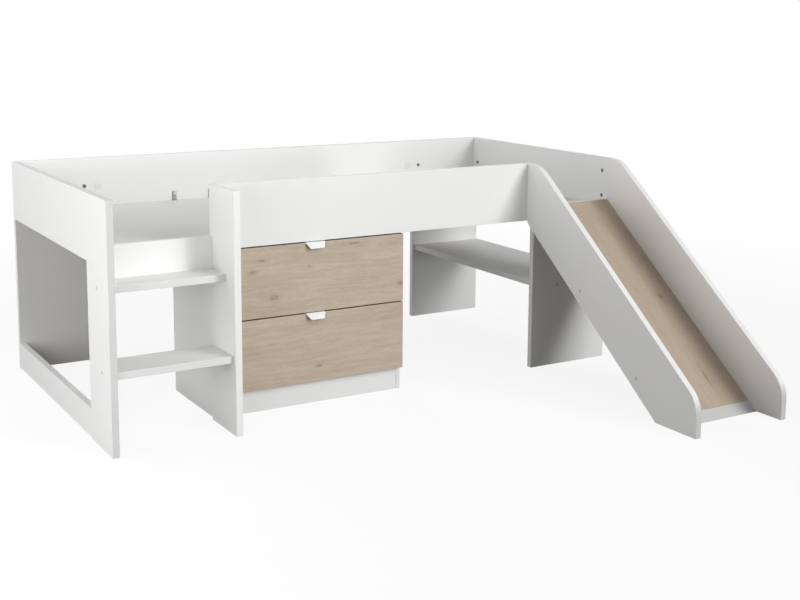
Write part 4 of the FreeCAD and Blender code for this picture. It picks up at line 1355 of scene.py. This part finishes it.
@dataclass(frozen=True)
class Studio:
    """A plain white studio, and the camera at the photograph's viewing angle.

    Attributes:
        lamps: The lamps.
        ambient: Light of the surroundings.
        floor_paint: Share of light that the floor throws back at the bed.
        floor_white: Share of light that it throws back to the camera.
        floor_half: Half the side of the floor.
        floor_shade: Share of the floor's own shading that the camera sees; the rest is plain white.
        fade: Distances from the middle of the bed over which that shading fades to plain white.
        eye: The camera's place.
        yaw: Degrees that the camera looks to the right of the rear.
        pitch: Degrees that it looks down.
        roll: Degrees that it is turned about its line of sight.
        focal_pixels: Its focal length in pixels of the image.
        image_width: Width of the image in pixels.
        rise: Lens shift, as a share of the image width.
    """

    lamps: tuple[Lamp, ...] = (
        Lamp("key_lowest", BED_MIDDLE, 25, 2, 14.0, 1.6, 195),
        Lamp("key_low", BED_MIDDLE, 25, 10, 14.0, 4.2, 210),
        Lamp("key_middle", BED_MIDDLE, 24, 20, 14.0, 5.0, 310),
        Lamp("key_high", BED_MIDDLE, 31, 32, 14.0, 6.0, 735),
        Lamp("front_fill", BED_MIDDLE, 8, 12, 5.0, 2.4, 27),
        Lamp("overhead", LADDER_END, 30, 65, 2.0, 1.2, 4),
        Lamp("left_far", BED_MIDDLE, -90, 30, 10.0, 3.0, 95),
        Lamp("rear_low", BED_MIDDLE, 178, 9, 10.0, 3.0, 520, glints=False),
        Lamp("rear_left", BED_MIDDLE, -120, 12, 5.0, 2.4, 42),
        Lamp("rear_left_high", BED_MIDDLE, -120, 40, 2.8, 1.4, 14),
        Lamp("ladder_low", LADDER_END, -40, 8, 2.0, 1.4, 15.5),
        Lamp("ladder_side", LADDER_END, -70, 8, 2.0, 1.4, 13),
    )
    ambient: float = 0.03
    floor_paint: float = 0.1
    floor_white: float = 0.95
    floor_half: float = 14.0
    floor_shade: float = 0.12
    fade: tuple[float, float] = (1.6, 4.5)
    eye: Vector = Vector((-2.0929, -3.6781, 1.307))
    yaw: float = 30.61
    pitch: float = 8.54
    roll: float = 0.33
    focal_pixels: float = 1239.4
    image_width: int = 800
    rise: float = -0.12

    def build(self) -> None:
        """Set the floor, the surroundings, the lamps and the camera."""
        self.lay_floor()
        self.light_surroundings()
        for lamp in self.lamps:
            lamp.build()
            LOG.info("lamp %s", lamp.name)
        self.set_camera()
        bpy.context.scene.view_settings.view_transform = "Standard"

    @staticmethod
    def seen_directly(tree: Tree) -> Socket:
        """Tell rays of the camera, of reflections and of clear materials from rays that carry light.

        Args:
            tree: Nodes of the floor or of the surroundings.

        Returns:
            1 on rays that show a surface as it is, else 0.
        """
        path = tree.add("ShaderNodeLightPath").outputs
        seen = tree.math("MAXIMUM", path["Is Camera Ray"], path["Is Glossy Ray"])
        return tree.math("MAXIMUM", seen, path["Is Transmission Ray"])

    def lay_floor(self) -> None:
        """Lay a pale floor on which a faint shadow of the bed is seen."""
        sheet = bmesh.new()
        bmesh.ops.create_grid(sheet, x_segments=1, y_segments=1, size=self.floor_half)
        mesh = bpy.data.meshes.new("studio_floor")
        sheet.to_mesh(mesh)
        sheet.free()
        floor = add_object("studio_floor", mesh)
        material = bpy.data.materials.new("studio_floor_paint")
        material.use_nodes = True
        tree = Tree(material.node_tree)
        seen = self.seen_directly(tree)
        tone = tree.line(seen, self.floor_paint, self.floor_white)
        paint = tree.add("ShaderNodeBsdfDiffuse", {"Color": tone})
        white = tree.add("ShaderNodeEmission", {"Color": PLAIN_WHITE, "Strength": 1.0})
        place = tree.add("ShaderNodeTexCoord").outputs["Object"]
        away = tree.vector("LENGTH", place, result="Value")
        white_share = tree.ease(away, *self.fade, 1 - self.floor_shade, 1.0)
        tree.surface("Material Output", tree.math("MULTIPLY", seen, white_share), paint, white)
        mesh.materials.append(material)

    def light_surroundings(self) -> None:
        """Light the bed from all round, with white behind it."""
        world = bpy.data.worlds.new("white_studio")
        world.use_nodes = True
        bpy.context.scene.world = world
        tree = Tree(world.node_tree)
        soft = tree.tree.nodes["Background"]
        soft.inputs["Color"].default_value = PLAIN_WHITE
        soft.inputs["Strength"].default_value = self.ambient
        white = tree.add("ShaderNodeBackground", {"Color": PLAIN_WHITE, "Strength": 1.0})
        tree.surface("World Output", self.seen_directly(tree), soft, white)

    def set_camera(self) -> None:
        """Set the camera where the photograph was taken from."""
        data = bpy.data.cameras.new("photo_camera")
        data.lens = self.focal_pixels / self.image_width * data.sensor_width
        data.shift_y = self.rise
        camera = add_object("photo_camera", data)
        aim(camera, self.eye, -away_from_bed(-self.yaw, self.pitch), self.roll)
        bpy.context.scene.camera = camera


def main() -> None:
    """Dress and build the sub-assemblies in order, log each piece's faces and set the studio."""
    logging.basicConfig(level=logging.INFO, format="%(name)s: %(message)s")
    # Boards are known by the slots that they were packed with, so this comes before any is dressed
    board_boxes()
    assemblies = (
        Fittings(), BedBase(), Drawer("upper"), Drawer("lower"), Chest(), BedFrame(), Ladder(), SlideUnit())
    for assembly in assemblies:
        assembly.dress()
        for piece in assembly.build():
            LOG.info("piece %s, %d faces", piece.name, len(piece.data.polygons))
    Studio().build()


if __name__ == "__main__":
    main()
